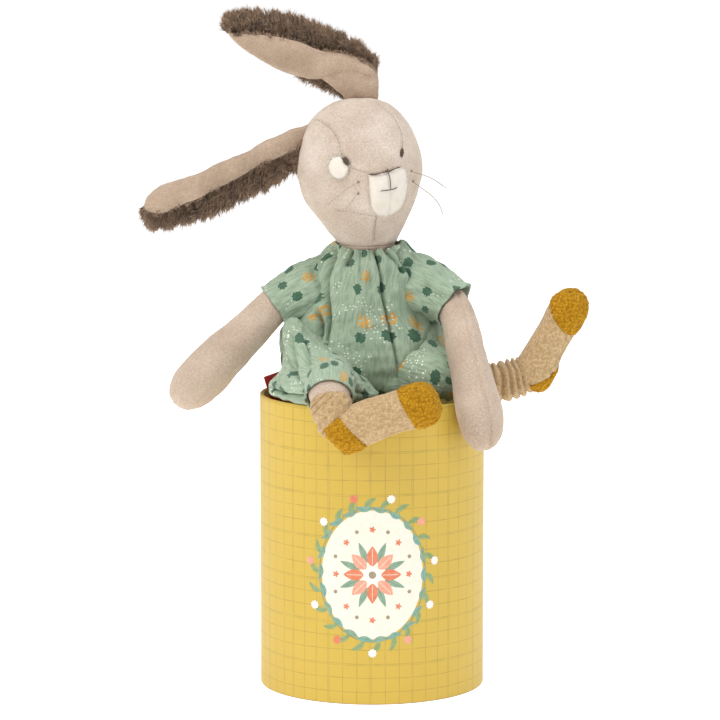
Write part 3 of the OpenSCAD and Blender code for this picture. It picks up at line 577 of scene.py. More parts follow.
def creased(grid, normals, lines):
    """Offsets that press folds into a grid's front along lines of (x, z) points, each with a depth and a width."""
    moved = np.zeros(grid.shape)
    flat = grid[..., [0, 2]]
    seen = np.clip(-2.5 * normals[..., 1], 0, 1)[..., None]
    for points, deep, wide in lines:
        near = np.full(grid.shape[:2] + (1,), 1e9)
        way = np.zeros(flat.shape)
        for (x0, z0), (x1, z1) in zip(points, points[1:]):
            a, d = np.array([x0, z0]), np.array([x1 - x0, z1 - z0], float)
            t = np.clip(((flat - a) @ d) / (d @ d), 0, 1)
            off = flat - a - t[..., None] * d
            far = np.linalg.norm(off, axis=2, keepdims=True)
            way = np.where(far < near, off, way)
            near = np.minimum(near, far)
        dip = 1.25 * np.exp(-(near / wide) ** 2) - 0.25 * np.exp(-(near / (2.6 * wide)) ** 2)
        moved -= seen * deep * normals * dip
        # The cloth on both sides rolls in over a deep fold.
        drawn_in = seen * min(0.72, deep / 7) * way * np.exp(-(near / (1.25 * wide)) ** 2)
        moved[..., 0] -= drawn_in[..., 0]
        moved[..., 2] -= drawn_in[..., 1]
    return moved


def cloth_tube(grid, uv, thick):
    """Closed thin shell from an open tube of cloth: its outside, its inside and both hems."""
    inner = grid - outward(grid) * thick
    rows, cols = grid.shape[:2]
    rolled = inner[:1] * 0.5 + grid[:1] * 0.5 - (grid[1:2] - grid[:1]) * 0.25
    hem = inner[-1:] * 0.5 + grid[-1:] * 0.5 + unit(grid[-1:] - grid[-2:-1]) * thick * 0.4
    stack = np.concatenate([grid, hem, inner[::-1], rolled])
    lays = np.concatenate([uv, uv[-1:], uv[::-1], uv[:1]])
    verts = stack.reshape(-1, 3)
    faces = woven(len(stack), cols)
    last = (len(stack) - 1) * cols
    faces += [(last + j, last + (j + 1) % cols, (j + 1) % cols, j) for j in range(cols)]
    return verts, faces, lays.reshape(-1, 2)


def laid(grid):
    """Cloth coordinates in millimetres over a closed grid: round it, and along it."""
    u, v = run_along(grid[len(grid) // 2]), run_along(grid.mean(axis=1))
    return np.stack(np.broadcast_arrays(u[None, :], v[:, None]), axis=2)


def clear_of(grid, stations, gap):
    """Moves a cloth's points out where they come nearer than this gap to the limb inside."""
    rows = through(stations, 8)
    flat = grid.reshape(-1, 3)
    off = flat[:, None] - rows[None, :, :3]
    far = np.linalg.norm(off, axis=2)
    k = np.argmin(far - rows[None, :, 3:].max(axis=2), axis=1)
    pick = np.arange(len(flat))
    near, room = far[pick, k], rows[k, 3:].max(axis=1) + gap
    push = np.maximum(0, room - near)
    return (flat + off[pick, k] / near[:, None] * push[:, None]).reshape(grid.shape)


neck_high = 86.8
bodice_rows = through([(z + drum_h, x, y, rx, ry) for z, x, y, rx, ry in (
    (-13.5, -6, 20, 24, 17), (-9, -6, 18, 36, 26), (0, -6, 14.6, 42.5, 31.5), (10, -6, 12.6, 45.5, 33.4),
    (20, -5.5, 11.8, 47.5, 33.4), (29, -5.5, 12, 48.5, 32.2), (36, -5.5, 12.7, 47.2, 30), (42, -5.8, 12.8, 42, 29),
    (50, -5.6, 12.9, 34.5, 28.2), (58, -4.8, 12.2, 31.5, 27.4), (66, -3.6, 11, 30.4, 26.2), (74, -2.2, 9.5, 29, 24.6),
    (80, -1.2, 8.6, 26, 22.4), (83.5, -1.6, 8.2, 22.8, 20), (85.6, -2, 8, 20.6, 18.6),
    (neck_high, -2.2, 8, 19.4, 17.9))], 9)
turn = np.linspace(0, 2 * math.pi, 420, endpoint=False) + math.pi / 2
bodice = upright(bodice_rows, turn)
facing = outward(bodice)
height = (bodice_rows[:, :1] - drum_h) / neck_high
gather = np.clip((height - 0.35) / 0.65, 0, 1) ** 1.4
folds = np.sin(23 * turn + 1.3 * np.sin(3 * turn + 1)) * 0.9 + np.sin(41 * turn + 2 * np.sin(5 * turn)) * 0.55
loose = np.sin(11 * turn + 1.5 * np.sin(2 * turn) + 2.5 * (1 - height)) * 1.1
rise = gather * folds * 0.75 + (1 - gather) * loose * 0.55 + ripple(bodice, 24, 5) * 0.8 + ripple(bodice, 7, 6) * 0.2
fold_lines = [
    ([(-21.3, 254), (-23.4, 245), (-26.2, 236), (-26.6, 229.6), (-25.4, 221), (-24.7, 213), (-25.6, 206),
      (-26.8, 199)], 6.0, 1.9),
    ([(-31.4, 216.4), (-29.8, 212), (-30.2, 206), (-32.1, 200)], 7.0, 2.2),
    ([(-11.8, 256), (-12.6, 253), (-14.4, 250), (-14.8, 246.5)], 3.0, 1.2),
    ([(1.6, 256), (3.9, 246), (5.3, 237.6), (6.3, 227), (9.2, 216), (10.8, 208), (13.3, 197), (14.8, 184),
      (15.6, 172)], 4.2, 1.3),
    ([(7.6, 257), (11.9, 250.8), (14.5, 246.6), (16.4, 241)], 3.8, 1.4),
    ([(15, 254), (19.3, 245.3), (22.5, 236.8), (25.2, 228.2), (29.5, 219.7), (34.8, 212)], 5.0, 1.8),
    ([(-6, 255), (-7, 246), (-6, 238)], 1.2, 1.3), ([(-1.5, 256), (-2, 246), (-1, 232)], 0.9, 1.3),
    ([(34, 216), (36, 211), (31.5, 203), (34.5, 186)], 1.2, 1.7), ([(-12, 238), (-12.5, 222), (-10, 205)], 0.5, 2.0),
    ([(16, 228), (18, 214), (21, 200)], 0.5, 2.0), ([(24, 226), (27, 214), (28, 204)], 0.7, 1.8)]
muslin_body = bodice + facing * rise[..., None] + creased(bodice, facing, fold_lines)
# The neck sits lower in front than behind.
muslin_body[..., 2] -= 3.2 * np.clip((height - 0.8) / 0.2, 0, 1) * np.clip(-np.sin(turn), 0, 1) ** 1.5
verts, faces, lays = cloth_tube(muslin_body, laid(bodice), muslin_t)
romper = piece("romper_bodice_muslin", verts, faces, muslin, "torso", "muslin", ["romper_bodice", "neck_elastic"],
               lays)
faced_out(romper)

# Romper's sleeves
# Each short sleeve is cut in one with the shoulder, runs straight from the gathered neck, and
# stands open like a bell over the arm, with a narrow turned hem.

for side_name, shape, rides_on, start, end, marks in (
        ("right", [(-10, 8, 235.6, 8.4, 12), (-20, 9, 235.2, 10.8, 14), (-28, 10, 233, 12.4, 15.4),
                   (-34, 10, 230.6, 16.4, 15.8), (-40, 9.8, 227.9, 16.2, 15.6), (-47.5, 9, 223.8, 14.6, 14.6),
                   (-53, 8.2, 220.4, 13.4, 13.8), (-56, 7.8, 218.4, 13.6, 14.2)],
         "arm_right", (-26, 10, 236), (-46, 9, 226),
         [([(-26, 246), (-35, 240), (-47, 228)], 1.0, 2.0), ([(-40, 219), (-46, 216), (-51, 214)], 1.6, 1.6)]),
        ("left", [(3, 7, 237, 8.4, 12), (12, 7, 236.8, 11, 14.4), (19.5, 6.5, 235, 11.8, 16),
                  (26, 5.4, 232.8, 15.6, 16.4), (32, 3.8, 230.4, 16.4, 16), (38, 1.2, 227.4, 14.8, 15),
                  (44.4, -2.6, 223.2, 13.4, 13.8), (47, -4.2, 221.4, 13.6, 14.2)],
         "arm_left", (19, 6, 236), (38, 1, 228),
         [([(17, 242), (28, 236), (40, 226)], 0.8, 2.0), ([(26, 240), (34, 238), (42, 232)], 0.7, 1.6)])):
    grid = limb_grid(shape, 10, 150, (0, 1, 0))
    facing = outward(grid)
    a = np.linspace(0, 2 * math.pi, 150, endpoint=False)[None, :]
    along = np.linspace(0, 1, len(grid))[:, None]
    rise = (1 - along) * np.sin(13 * a) * 0.7 + along * np.sin(5 * a + 1.2) * 0.8 + ripple(grid, 15, 21) * 0.7
    rise += ripple(grid, 5, 22) * 0.2
    hung = clear_of(grid + facing * rise[..., None] + creased(grid, facing, marks), arms[side_name], 1.7)
    # Each piece is cut from its own part of the printed cloth.
    verts, faces, lays = cloth_tube(hung, laid(grid) + 60, muslin_t)
    sleeve = piece("sleeve_" + side_name + "_muslin", verts, faces, muslin, "", "muslin", ["sleeve_" + side_name],
                   lays)
    faced_out(sleeve)
    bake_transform(sleeve)

# Romper's short legs
# The same muslin, full and loose over each thigh, drawn in above the knee by elastic in a
# turned hem. Sitting pushes the right one up in a long slanting fold from the armpit.


# Every outline of a trouser leg has this many points, and its first lies underneath.
outline_points = 14


def ring_of(centre, toward, wide, high):
    """Points round a thigh, from below and by the doll's right or front over the top."""
    toward = unit(np.array(toward, float))
    side = unit(np.cross(toward, (0, 0, 1)))
    up = np.cross(side, toward)
    a = -math.pi / 2 + np.arange(outline_points) * 2 * math.pi / outline_points
    return np.array(centre) + wide * np.cos(a)[:, None] * side + high * np.sin(a)[:, None] * up


def draped_grid(outlines, steps, around):
    """Smooth grid through closed outlines of points, all with as many points and the same first one."""
    rows = through([np.ravel(outline) for outline in outlines], steps).reshape(-1, outline_points, 3)
    made = []
    for row in rows:
        ring = through(np.vstack([row[-2:], row, row[:2]]), 24)[48:-25]
        ring = np.vstack([ring, ring[:1]])
        run = run_along(ring)
        at = np.linspace(0, run[-1], around, endpoint=False)
        made.append(np.stack([np.interp(at, run, ring[:, k]) for k in range(3)], axis=1))
    return np.array(made)


right_drape = [[(x, y, z) for x, z in line] for y, line in (
    (10, [(-24, 172), (-34, 172.5), (-40, 176), (-42, 181), (-42, 187), (-40, 193), (-36, 198), (-29, 200), (-21, 198),
          (-14, 194), (-9, 188), (-7, 182), (-8, 176), (-14, 172.5)]),
    (1, [(-27, 168.8), (-42, 168.8), (-51, 171.5), (-53.5, 177), (-50.5, 185), (-50, 195), (-49, 207), (-43, 211.5),
         (-33, 204), (-22, 195.6), (-11, 185.6), (-2, 176.5), (-1, 171), (-12, 168.8)]),
    (-8, [(-28, 168.4), (-44, 168.4), (-55.5, 171.5), (-57.5, 177.5), (-51.8, 185.5), (-50.5, 195), (-51.5, 207.5),
          (-43.5, 213.5), (-33, 204.5), (-21.5, 195.6), (-10, 185.4), (0.5, 176.5), (2, 171), (-10, 168.4)]),
    (-20, [(-28, 168.4), (-45, 168.6), (-57.5, 171.5), (-59, 177), (-52.5, 185), (-49.8, 192.5), (-49, 202.5),
           (-42.5, 209), (-33, 203), (-21.5, 195.4), (-10, 185.4), (1, 176.6), (4, 171.6), (-9, 168.4)]),
    (-31, [(-28, 168.6), (-43, 168.8), (-54.5, 171.5), (-56, 177), (-51, 184), (-47.5, 190.5), (-44.5, 197.5),
           (-38, 202), (-31, 200), (-21, 195.2), (-10.5, 185.8), (-1, 177), (2, 171.8), (-9, 168.8)]),
    (-41, [(-27, 169.4), (-39, 169.8), (-48.5, 171.8), (-50.5, 177), (-47.5, 183.5), (-44, 189), (-40, 194),
           (-34, 197.6), (-27.5, 198), (-20, 194.5), (-12.5, 187.5), (-5.5, 180), (-3.5, 174), (-11, 170.2)]),
    (-50, [(-26, 170.2), (-35, 170.6), (-42, 172.6), (-44, 177.2), (-42, 183), (-39, 188), (-35.4, 192.4),
           (-30.5, 195.4), (-24.5, 196.4), (-18, 194.2), (-12, 189), (-8, 182.6), (-8, 176), (-14, 171.4)]))]
right_drape += [ring_of((-24, -58.5, 181.2), (0, -1, -0.12), 14.8, 14.2),
                ring_of((-24.1, -65, 180), (0, -0.93, -0.36), 13.6, 13.1),
                ring_of((-24.2, -68.6, 178.6), (0, -0.88, -0.47), 13.2, 12.7),
                ring_of((-24.3, -71.4, 177.2), (0, -0.85, -0.53), 13.9, 13.2)]
left_drape = [[(x, y, z) for y, z in line] for x, line in (
    (-2, [(2, 176), (-6, 176), (-9, 178), (-10, 181), (-9, 185), (-6, 189), (-3, 193), (1, 196), (5, 197), (10, 196),
          (14, 192), (16, 186), (14, 180), (8, 177)]),
    (6, [(-4, 169.6), (-12, 169.8), (-16, 173), (-17, 178), (-16, 184), (-12, 190), (-7, 195), (-3, 199), (1, 201),
         (8, 200), (15, 194.5), (18, 185), (15, 176), (6, 170.4)]),
    (15, [(-8, 168.6), (-17, 168.8), (-20, 172.5), (-20.6, 179), (-18.5, 187), (-14, 193), (-9, 198), (-4, 201),
          (0, 203), (8, 201), (16, 195), (19, 186), (16, 176), (4, 169.6)]),
    (24, [(-10, 168.4), (-20, 168.8), (-24, 172.5), (-25, 179), (-22, 187), (-16, 193), (-10, 197), (-5, 200),
          (0, 201.5), (7, 200), (14, 195), (17, 186), (14, 176), (2, 169.4)]),
    (33, [(-12, 168.8), (-24, 169.2), (-27.5, 173), (-28, 180), (-25, 188), (-19.5, 194), (-13, 198), (-7, 201),
          (-1, 202), (5, 199.5), (11, 194), (13, 185), (10, 176), (-1, 169.8)]),
    (39, [(-15, 170.4), (-25, 170.8), (-28.5, 174), (-29.5, 180.5), (-27, 188), (-22.5, 193), (-17, 196.5),
          (-11, 199), (-5, 199.5), (1, 197), (5, 192), (6, 184), (3, 177), (-5, 171.5)]))]
left_drape += [ring_of((42.8, -18.2, 183.4), (1, 0.1, 0), 14.6, 14.6),
               ring_of((44.2, -18.4, 183), (1, 0.12, 0), 13.3, 13.3),
               ring_of((45.6, -18.6, 182.8), (1, 0.14, 0), 14, 13.8)]
for side_name, outlines, rides_on, start, end, marks in (
        ("right", right_drape, "leg_right", (-24, 2, 184), (-24, -26, 184),
         [([(-50, 212.4), (-44, 213.4), (-38, 212), (-33, 209)], 3.0, 1.4),
          ([(-38.5, 207), (-36.5, 200), (-35.5, 190), (-36, 178)], 3.0, 1.5),
          ([(-46, 205), (-45, 196), (-42.5, 186)], 3.0, 1.5),
          ([(-52, 199), (-47, 190), (-41, 184), (-36.5, 181)], 2.4, 1.4),
          ([(-57, 176), (-48, 174.5), (-38.5, 176)], 3.4, 1.6),
          ([(-30, 199), (-27, 196), (-22, 191), (-14, 184), (-10, 180)], 0.7, 2.2),
          ([(-3, 174), (-8, 176), (-11, 181)], 1.6, 1.4), ([(-13, 171), (-12, 176)], 1.2, 1.0)]),
        ("left", left_drape, "leg_left", (16, 2, 184), (30, -14, 184),
         [([(11.6, 206), (13.3, 190), (16, 170)], 1.8, 1.2), ([(24, 208), (25, 196), (27.5, 184), (27, 172)], 0.9,
                                                              2.0),
          ([(33, 200), (36, 194), (38, 186), (39.5, 178)], 0.8, 1.6)])):
    grid = draped_grid(outlines, 9, 210)
    facing = outward(grid)
    a = np.linspace(0, 2 * math.pi, 210, endpoint=False)[None, :]
    along = np.linspace(0, 1, len(grid))[:, None]
    drawn = np.clip((along - 0.5) / 0.4, 0, 1)
    rise = drawn * (np.sin(19 * a + 1.5 * np.sin(2 * a)) * 0.8 + np.sin(31 * a + 2) * 0.35)
    rise += (1 - drawn) * np.sin(7 * a + 2) * 0.3 + ripple(grid, 17, 31) * 0.6 + ripple(grid, 6, 32) * 0.2
    off = facing * rise[..., None] + creased(grid, facing, marks)
    puffed = clear_of(grid + off * np.clip((1 - along) * 14, 0.25, 1)[..., None], legs[side_name], 1.8)
    # Cloth that crosses the drum's rim rests on it.
    out = np.hypot(puffed[..., 0], puffed[..., 1]) - drum_r
    over_rim = (out > -4.5) & (out < 1.5)
    puffed[..., 2] = np.where(over_rim, np.maximum(puffed[..., 2], drum_h + 0.4), puffed[..., 2])
    verts, faces, lays = cloth_tube(puffed, laid(grid) + 130, muslin_t)
    trouser = piece("trouser_" + side_name + "_muslin", verts, faces, muslin, "", "muslin",
                    ["trouser_" + side_name, "leg_elastic_" + side_name], lays)
    faced_out(trouser)
    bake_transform(trouser)

# Socks
# Fine melange jersey over a stuffed foot, with the long cuff pushed down into rings at the
# ankle. Heel and toe are ochre terry, its loops standing a little above the knit.

melange_knit, tree = finish_named("melange_jersey")
spot = put(tree, "TexCoord", {}).outputs["Object"]
yarn = toned(tree, ranged(tree, noise(tree, spot, 1500.0), 0.38, 0.62), "#AA8E68", "#C8AD84")
blotch = ranged(tree, noise(tree, spot, 600.0), 0.4, 0.66)
stitches = put(tree, "TexVoronoi", {}, Vector=spot, Scale=1100.0)
shade(tree, stitches.outputs["Distance"], 0.5, 0.0005, Base_Color=toned(tree, blotch, yarn, "#A2865F"),
      Roughness=0.95, Specular_IOR_Level=0.15, Sheen_Weight=0.25, Sheen_Roughness=0.5)

ochre_terry, tree = finish_named("looped_terry")
spot = put(tree, "TexCoord", {}).outputs["Object"]
loops = put(tree, "TexVoronoi", {}, Vector=spot, Scale=620.0).outputs["Distance"]
tufts = noise(tree, spot, 160.0, 4.0)
# Painted shade and painted highlight: the terry is coloured darker in the gaps between its loops and lighter on the
# loops.
terry_painted_shade = toned(tree, ranged(tree, loops, 0.1, 0.8), "#D9A42A", "#8C5E0C")
shade(tree, calc(tree, "MULTIPLY_ADD", loops, -1.0, tufts), 0.8, 0.0012,
      Base_Color=toned(tree, tufts, terry_painted_shade, "#9C6D12"), Roughness=1.0, Specular_IOR_Level=0.1,
      Sheen_Weight=0.3, Sheen_Roughness=0.5, Sheen_Tint=linear("#F2CF6A"))


def joined(parts):
    """Several (points, faces) as one."""
    verts, faces = [], []
    for some, some_faces in parts:
        faces += [tuple(i + len(verts) for i in face) for face in some_faces]
        verts += [tuple(p) for p in some]
    return verts, faces


def cap_grid(foot, from_tip, reach, steps, lift):
    """A cap over one end of a foot's grid: rows from the tip to a curved edge, raised by lift."""
    rows, cols = foot.shape[:2]
    facing = outward(foot)
    grid = np.empty((steps, cols, 3))
    for k, share in enumerate(np.linspace(0, 1, steps)):
        at = share * reach
        at = at if from_tip else rows - 1 - at
        low = np.clip(np.floor(at).astype(int), 0, rows - 2)
        part = (at - low)[:, None]
        j = np.arange(cols)
        point = foot[low, j] * (1 - part) + foot[low + 1, j] * part
        out = facing[low, j] * (1 - part) + facing[low + 1, j] * part
        grid[k] = point + out * lift * min(1, (1.02 - share) * 9)
    return grid


# The right foot hangs in front of the drum, this far from its middle.
right_out = -79.3
for side_name, shape, cuff in (
        ("right", [(-23.2, right_out, 155.2, 1.8, 1.8), (-22.6, right_out, 155.8, 7, 7.2),
                   (-20.4, right_out, 157.2, 10.8, 10.8), (-14, right_out, 159.8, 12.6, 12.4),
                   (-1, right_out, 165.2, 12.3, 12.1), (12, right_out + 0.8, 169.8, 11.6, 11.6),
                   (22, right_out + 2, 172.6, 12, 12), (29, right_out + 3, 174.2, 11.6, 12),
                   (34, right_out + 3.8, 175.4, 8.8, 9.4), (36.8, right_out + 4, 176.2, 3.2, 3.6)],
         [(-23.5, -74, 176.2, 11.2, 11.6), (-23, -75.6, 173.6, 11.6, 12), (-22.4, -76.8, 170.6, 11.3, 11.6),
          (-21.4, -77.6, 167, 10.9, 10.8), (-20.2, -77.6, 163.2, 10.3, 9.4), (-18.6, -77.6, 159.8, 9.6, 7.4)]),
        ("left", [(88.2, -15, 176, 1.8, 1.8), (88.8, -15, 177, 6.6, 6.8), (90.5, -15, 179.9, 10.6, 10.8),
                  (94, -15, 187, 12, 11.6), (99.6, -15, 197.7, 11.6, 10.8), (105.1, -15, 207.2, 11.4, 10.5),
                  (110.1, -15, 215.9, 11.8, 10.9), (114.1, -15, 222.8, 10.6, 10), (116.9, -15, 227.6, 7.2, 6.8),
                  (118.3, -15, 230.1, 2.4, 2.4)],
         [(64.5, -15.6, 177.6, 10.8, 10.8), (69, -15.4, 177.4, 11.2, 11.2), (73.4, -15.2, 178, 11.2, 11.2),
          (78, -15, 179.1, 11, 11), (82.4, -15, 180.4, 10.8, 10.8), (86.6, -15, 182, 10.2, 10.2),
          (90, -15, 183.6, 8.8, 8.8)])):
    body_name = "leg_" + side_name
    foot = limb_grid(shape, 10, 96, (0, 1, 0))
    facing = outward(foot)
    foot = foot + facing * (ripple(foot, 16, 61) * 0.3 + seam_groove(foot, 33, 1.0, 0.8))[..., None]
    a = np.linspace(0, 2 * math.pi, 96, endpoint=False)
    ankle = limb_grid(cuff, 18, 96, (1, 0, 0) if side_name == "right" else (0, 1, 0))
    along = np.linspace(0, 1, len(ankle))[:, None]
    if side_name == "right":
        # The cuff is stretched smooth over the knee and wrinkles only inside the bend, by the heel.
        place = along + 0.32 * np.cos(a) + 0.05 * np.sin(2 * a + 1)
        rings = np.abs(np.sin(place * math.pi * 5.3 + 0.8 * np.sin(place * 9))) ** 0.7 - 0.7
        rings *= 0.4 + 1.6 * np.clip(np.cos(a - 3.5), 0, 1)
    else:
        place = along + 0.035 * np.sin(a + 0.6) + 0.02 * np.sin(3 * a)
        rings = 2.3 * (np.abs(np.sin(place * math.pi * 6.2 + 0.7 * np.sin(place * 7 + 1))) ** 0.75 - 0.6)
    rings = rings * np.clip(along * 10, 0.2, 1) + ripple(ankle, 9, 63) * 0.35
    ankle = ankle + outward(ankle) * rings[..., None]
    tubes = joined([closed(foot), closed(ankle)])
    knit = faced_out(piece("sock_" + side_name + "_knit", *tubes, melange_knit, body_name, "melange_knit",
                           ["sock_" + side_name]))
    if side_name == "right":
        heel_edge, toe_edge = 31.5 + 3.8 * np.cos(a - 1.77), 33 + 3.6 * np.cos(a - 3.9)
    else:
        off_sole = np.abs((a + math.pi / 2) % (2 * math.pi) - math.pi) / (math.pi / 2)
        heel_edge, toe_edge = np.maximum(36 - 24 * off_sole ** 1.6, 5), 30.3 + 7 * np.cos(a - 2.6)
    for part, grid in (("heel", cap_grid(foot, True, heel_edge, 26, 0.9)),
                       ("toe", cap_grid(foot, False, toe_edge, 26, 0.9))):
        seam = seam_groove(grid, 59, 0.5, 0.6) if part == "toe" else 0
        grid = grid + outward(grid) * (ripple(grid, 3, 65) * 0.25 + seam)[..., None]
        cap = faced_out(piece(part + "_" + side_name + "_terry", *closed(grid), ochre_terry, body_name, "ochre_terry",
                              ["sock_" + part + "_" + side_name]))

# Head
# A pear-shaped velour head, sewn from shaped pieces and stuffed firmly. Two darts run down the
# forehead to the eyes, and a cross seam and a centre seam shape the chin.

head_rows = through([
    (253.4, -3, 8.2, 13.6, 13.4), (256.4, -3.2, 8, 16.4, 16), (260, -3.8, 7.8, 19, 18.6), (264, -4.4, 7.5, 21.8, 20.8),
    (272.2, -5.7, 7, 27, 25.1), (279, -6.6, 6.7, 31, 28.3), (285.5, -7.1, 6.5, 33.7, 30.7),
    (292.5, -7.2, 6.5, 35.5, 32.2), (299.7, -7.1, 6.5, 36.2, 33), (305.6, -7, 6.7, 35.6, 32.8),
    (311.4, -7.2, 7, 34.4, 32), (317.6, -7.6, 7.5, 32.4, 30.4), (323.1, -7.9, 8, 30, 28.4),
    (327.8, -7.9, 8.5, 26.8, 25.6), (331.6, -7.7, 9, 23.2, 22.4), (335, -7.3, 9.5, 18.6, 18),
    (337.6, -6.9, 10, 13.2, 13), (339.2, -6.6, 10.3, 7.4, 7.4), (339.8, -6.5, 10.5, 1.6, 1.6)], 9)
face_turn = math.radians(-72)
turn = np.linspace(0, 2 * math.pi, 260, endpoint=False)
head = upright(head_rows, turn)
chin_z, head_high = 256.3, 83.5
share = (head_rows[:, :1] - chin_z) / head_high
snout = np.interp(share, [0, 0.12, 0.22, 0.3, 0.4, 0.5, 0.58, 0.68, 0.8], [0, 0.28, 0.74, 0.95, 1, 0.82, 0.5, 0.16, 0])
nose_out = 8 * snout * np.clip(np.cos(turn - face_turn), 0, 1) ** 5
head[..., 0] += nose_out * math.cos(face_turn)
head[..., 1] += nose_out * math.sin(face_turn)
facing = outward(head)
muzzle_line = [(-2.1, 298.4), (-1.6, 292), (-1.3, 285.6), (-0.6, 280), (2, 276), (6.4, 274.4), (11.4, 275.4),
               (15.8, 278.4), (18.2, 283.6), (19.4, 289.6), (19.7, 296), (18.4, 301.2), (14.6, 302), (8.4, 300),
               (3, 298.8)]
head_seams = [
    ([(-33, 327.2), (-31.6, 327.9), (-29, 327.2), (-25.4, 324.9), (-22.4, 322.4), (-19.6, 318), (-17.8, 311.2),
      (-17, 307.6)], 1.1, 1.0),
    ([(-11.5, 302.4), (-8, 301), (-5.5, 300.4), (-2.4, 299.4)], 0.6, 0.8),
    ([(3.6, 336.9), (7, 334.4), (11, 331), (13.6, 327.4), (16.2, 322.4), (17.3, 318), (17.2, 312.9)], 0.8, 0.9),
    ([(-20, 276.9), (-12.6, 276.6), (-5.7, 275.5), (1.4, 274.4), (6.4, 273.6)], 0.8, 1.0),
    ([(2.6, 274), (1.9, 270), (1.2, 265.9), (1.2, 258.6)], 1.1, 1.0)]
pressed = creased(head, facing, head_seams + [
    (muzzle_line + muzzle_line[:1], 0.45, 0.8),
    ([(-10.5, 296), (-8.5, 290), (-9.5, 284)], 0.6, 2.6), ([(22.6, 300), (23.4, 293), (22.8, 286)], 0.35, 2.0)])
rise = ripple(head, 30, 71) * 0.3 + ripple(head, 8, 72) * 0.08
head = head + facing * rise[..., None] + pressed
head_velour = velour_finish("cut_pile_velour_head", "#C4B4A5", "#D1C5B9", "#B19E8C")
verts, faces = closed(head)
skull = faced_out(piece("head_velour", verts, faces, head_velour, "head", "velour", ["head_skin", "head_filling"]))
skull_tree = BVHTree.FromPolygons([Vector(v) for v in verts], faces)


def on_face(x, z, lift=0.0):
    """Point on the front of the head at x and z, lifted off it along its normal."""
    hit, normal, _, _ = skull_tree.ray_cast(Vector((x, -120, z)), Vector((0, 1, 0)))
    normal = normal if normal.y < 0 else -normal
    return np.array(hit + normal * lift)


def thread_run(points, wide):
    """Round thread through points, drawn in at both ends."""
    rows = through(points, 6)
    grid = limb_grid(np.hstack([points, np.full((len(points), 2), wide / 2)]), 6, 8, (0.1, -1, 0.2))
    taper = np.minimum(1, np.minimum(np.arange(len(rows)), np.arange(len(rows))[::-1]) / 3 + 0.25)
    return closed(rows[:, None] + (grid - rows[:, None]) * taper[:, None, None])


# Taupe sewing thread draws each seam in, in stitches 1.5 mm long.
sewing_thread, tree = finish_named("sewing_thread")
spot = put(tree, "TexCoord", {}).outputs["Object"]
twist = noise(tree, spot, 1200.0)
shade(tree, twist, 0.3, 0.0002, Base_Color=toned(tree, twist, "#85705F", "#A08B79"), Roughness=0.8)


def stitched(line, long, space, wide, at):
    """Short stitches along a line, each placed by a function of a point on it."""
    rows = through(line, 30)
    run = run_along(rows)
    made = []
    for start in np.arange(0.2, run[-1] - long, long + space):
        ends = [[np.interp(start + long * t, run, rows[:, k]) for k in range(rows.shape[1])] for t in (0, 0.5, 1)]
        made.append(thread_run([at(p) for p in ends], wide))
    return made


head_stitches = []
for line, _, _ in head_seams:
    head_stitches += stitched(line, 1.5, 0.6, 0.32, lambda p: on_face(p[0], p[1], -0.02))
piece("head_seam_stitches", *joined(head_stitches), sewing_thread, "head", "brown_thread")

# Muzzle and cheek
# White plush: a shield-shaped muzzle with a seam down from the mouth, and one round cheek patch
# sewn on below the right eye. Its pile is longer than the velour's and looks fluffy.

white_plush, tree = finish_named("white_plush")
spot = put(tree, "TexCoord", {}).outputs["Object"]
pile, clump = noise(tree, spot, 900.0, 3.0), noise(tree, spot, 220.0, 3.0)
shade(tree, calc(tree, "ADD", pile, clump), 0.5, 0.0008, Base_Color=toned(tree, clump, "#CFC6BA", "#E2DBD0"),
      Roughness=0.95, Specular_IOR_Level=0.15, Sheen_Weight=0.3, Sheen_Roughness=0.5)


def patch_grid(line, middle, steps, lift, puff):
    """Grid over a closed line of (x, z) on the face: rings from the middle out, lifted and puffed."""
    smooth = through(line + line[:1], 8)[:-1]
    middle = np.array(middle, float)
    rows = []
    for k in np.linspace(0.03, 1, steps):
        high = lift + puff * (1 - k ** 4)
        rows.append([on_face(*(middle + (p - middle) * k), high) for p in smooth])
    rows.append([on_face(*(middle + (p - middle) * 1.015), -0.3) for p in smooth])
    return np.array(rows)


def blades(root, way, rule, long, wide):
    """Tapered blades from their roots, each bent along its way. Gives points, faces and their lay."""
    count = len(root)
    way = unit(way)
    side = unit(np.cross(way, rule.normal(size=(count, 3))))
    long = long * rule.uniform(0.7, 1.15, (count, 1))
    bend = rule.normal(0, 0.16, (count, 3))
    verts = []
    for t, w in ((0, 1), (0.4, 0.85), (0.75, 0.5)):
        point = root + way * long * t + bend * long * t * t
        verts += [point - side * wide * w / 2, point + side * wide * w / 2]
    verts.append(root + way * long + bend * long)
    lay = np.stack(np.broadcast_arrays(rule.uniform(0, 1, (count, 1)), [0, 0, 0.4, 0.4, 0.75, 0.75, 1.0]),
                   axis=2) * 1000
    faces = []
    for b in range(0, 7 * count, 7):
        faces += [(b, b + 1, b + 3, b + 2), (b + 2, b + 3, b + 5, b + 4), (b + 4, b + 5, b + 6)]
    return np.stack(verts, axis=1).reshape(-1, 3), faces, lay.reshape(-1, 2)


def fringe(grid, seed, count, long, wide, out, low_share):
    """Points and faces of fine tufts round the edge of a patch, leaning outwards."""
    rule = np.random.default_rng(seed)
    rows, cols = grid.shape[:2]
    i = (rows - 2) * rule.uniform(low_share, 1, count)
    j = rule.integers(0, cols, count)
    low = i.astype(int)
    root = grid[low, j] + (grid[np.minimum(low + 1, rows - 1), j] - grid[low, j]) * (i - low)[:, None]
    way = np.array([0, -0.12, 0]) + unit(root - grid[0].mean(axis=0)) * out + rule.normal(0, 0.3, (count, 3))
    return blades(root, way, rule, long, wide)[:2]


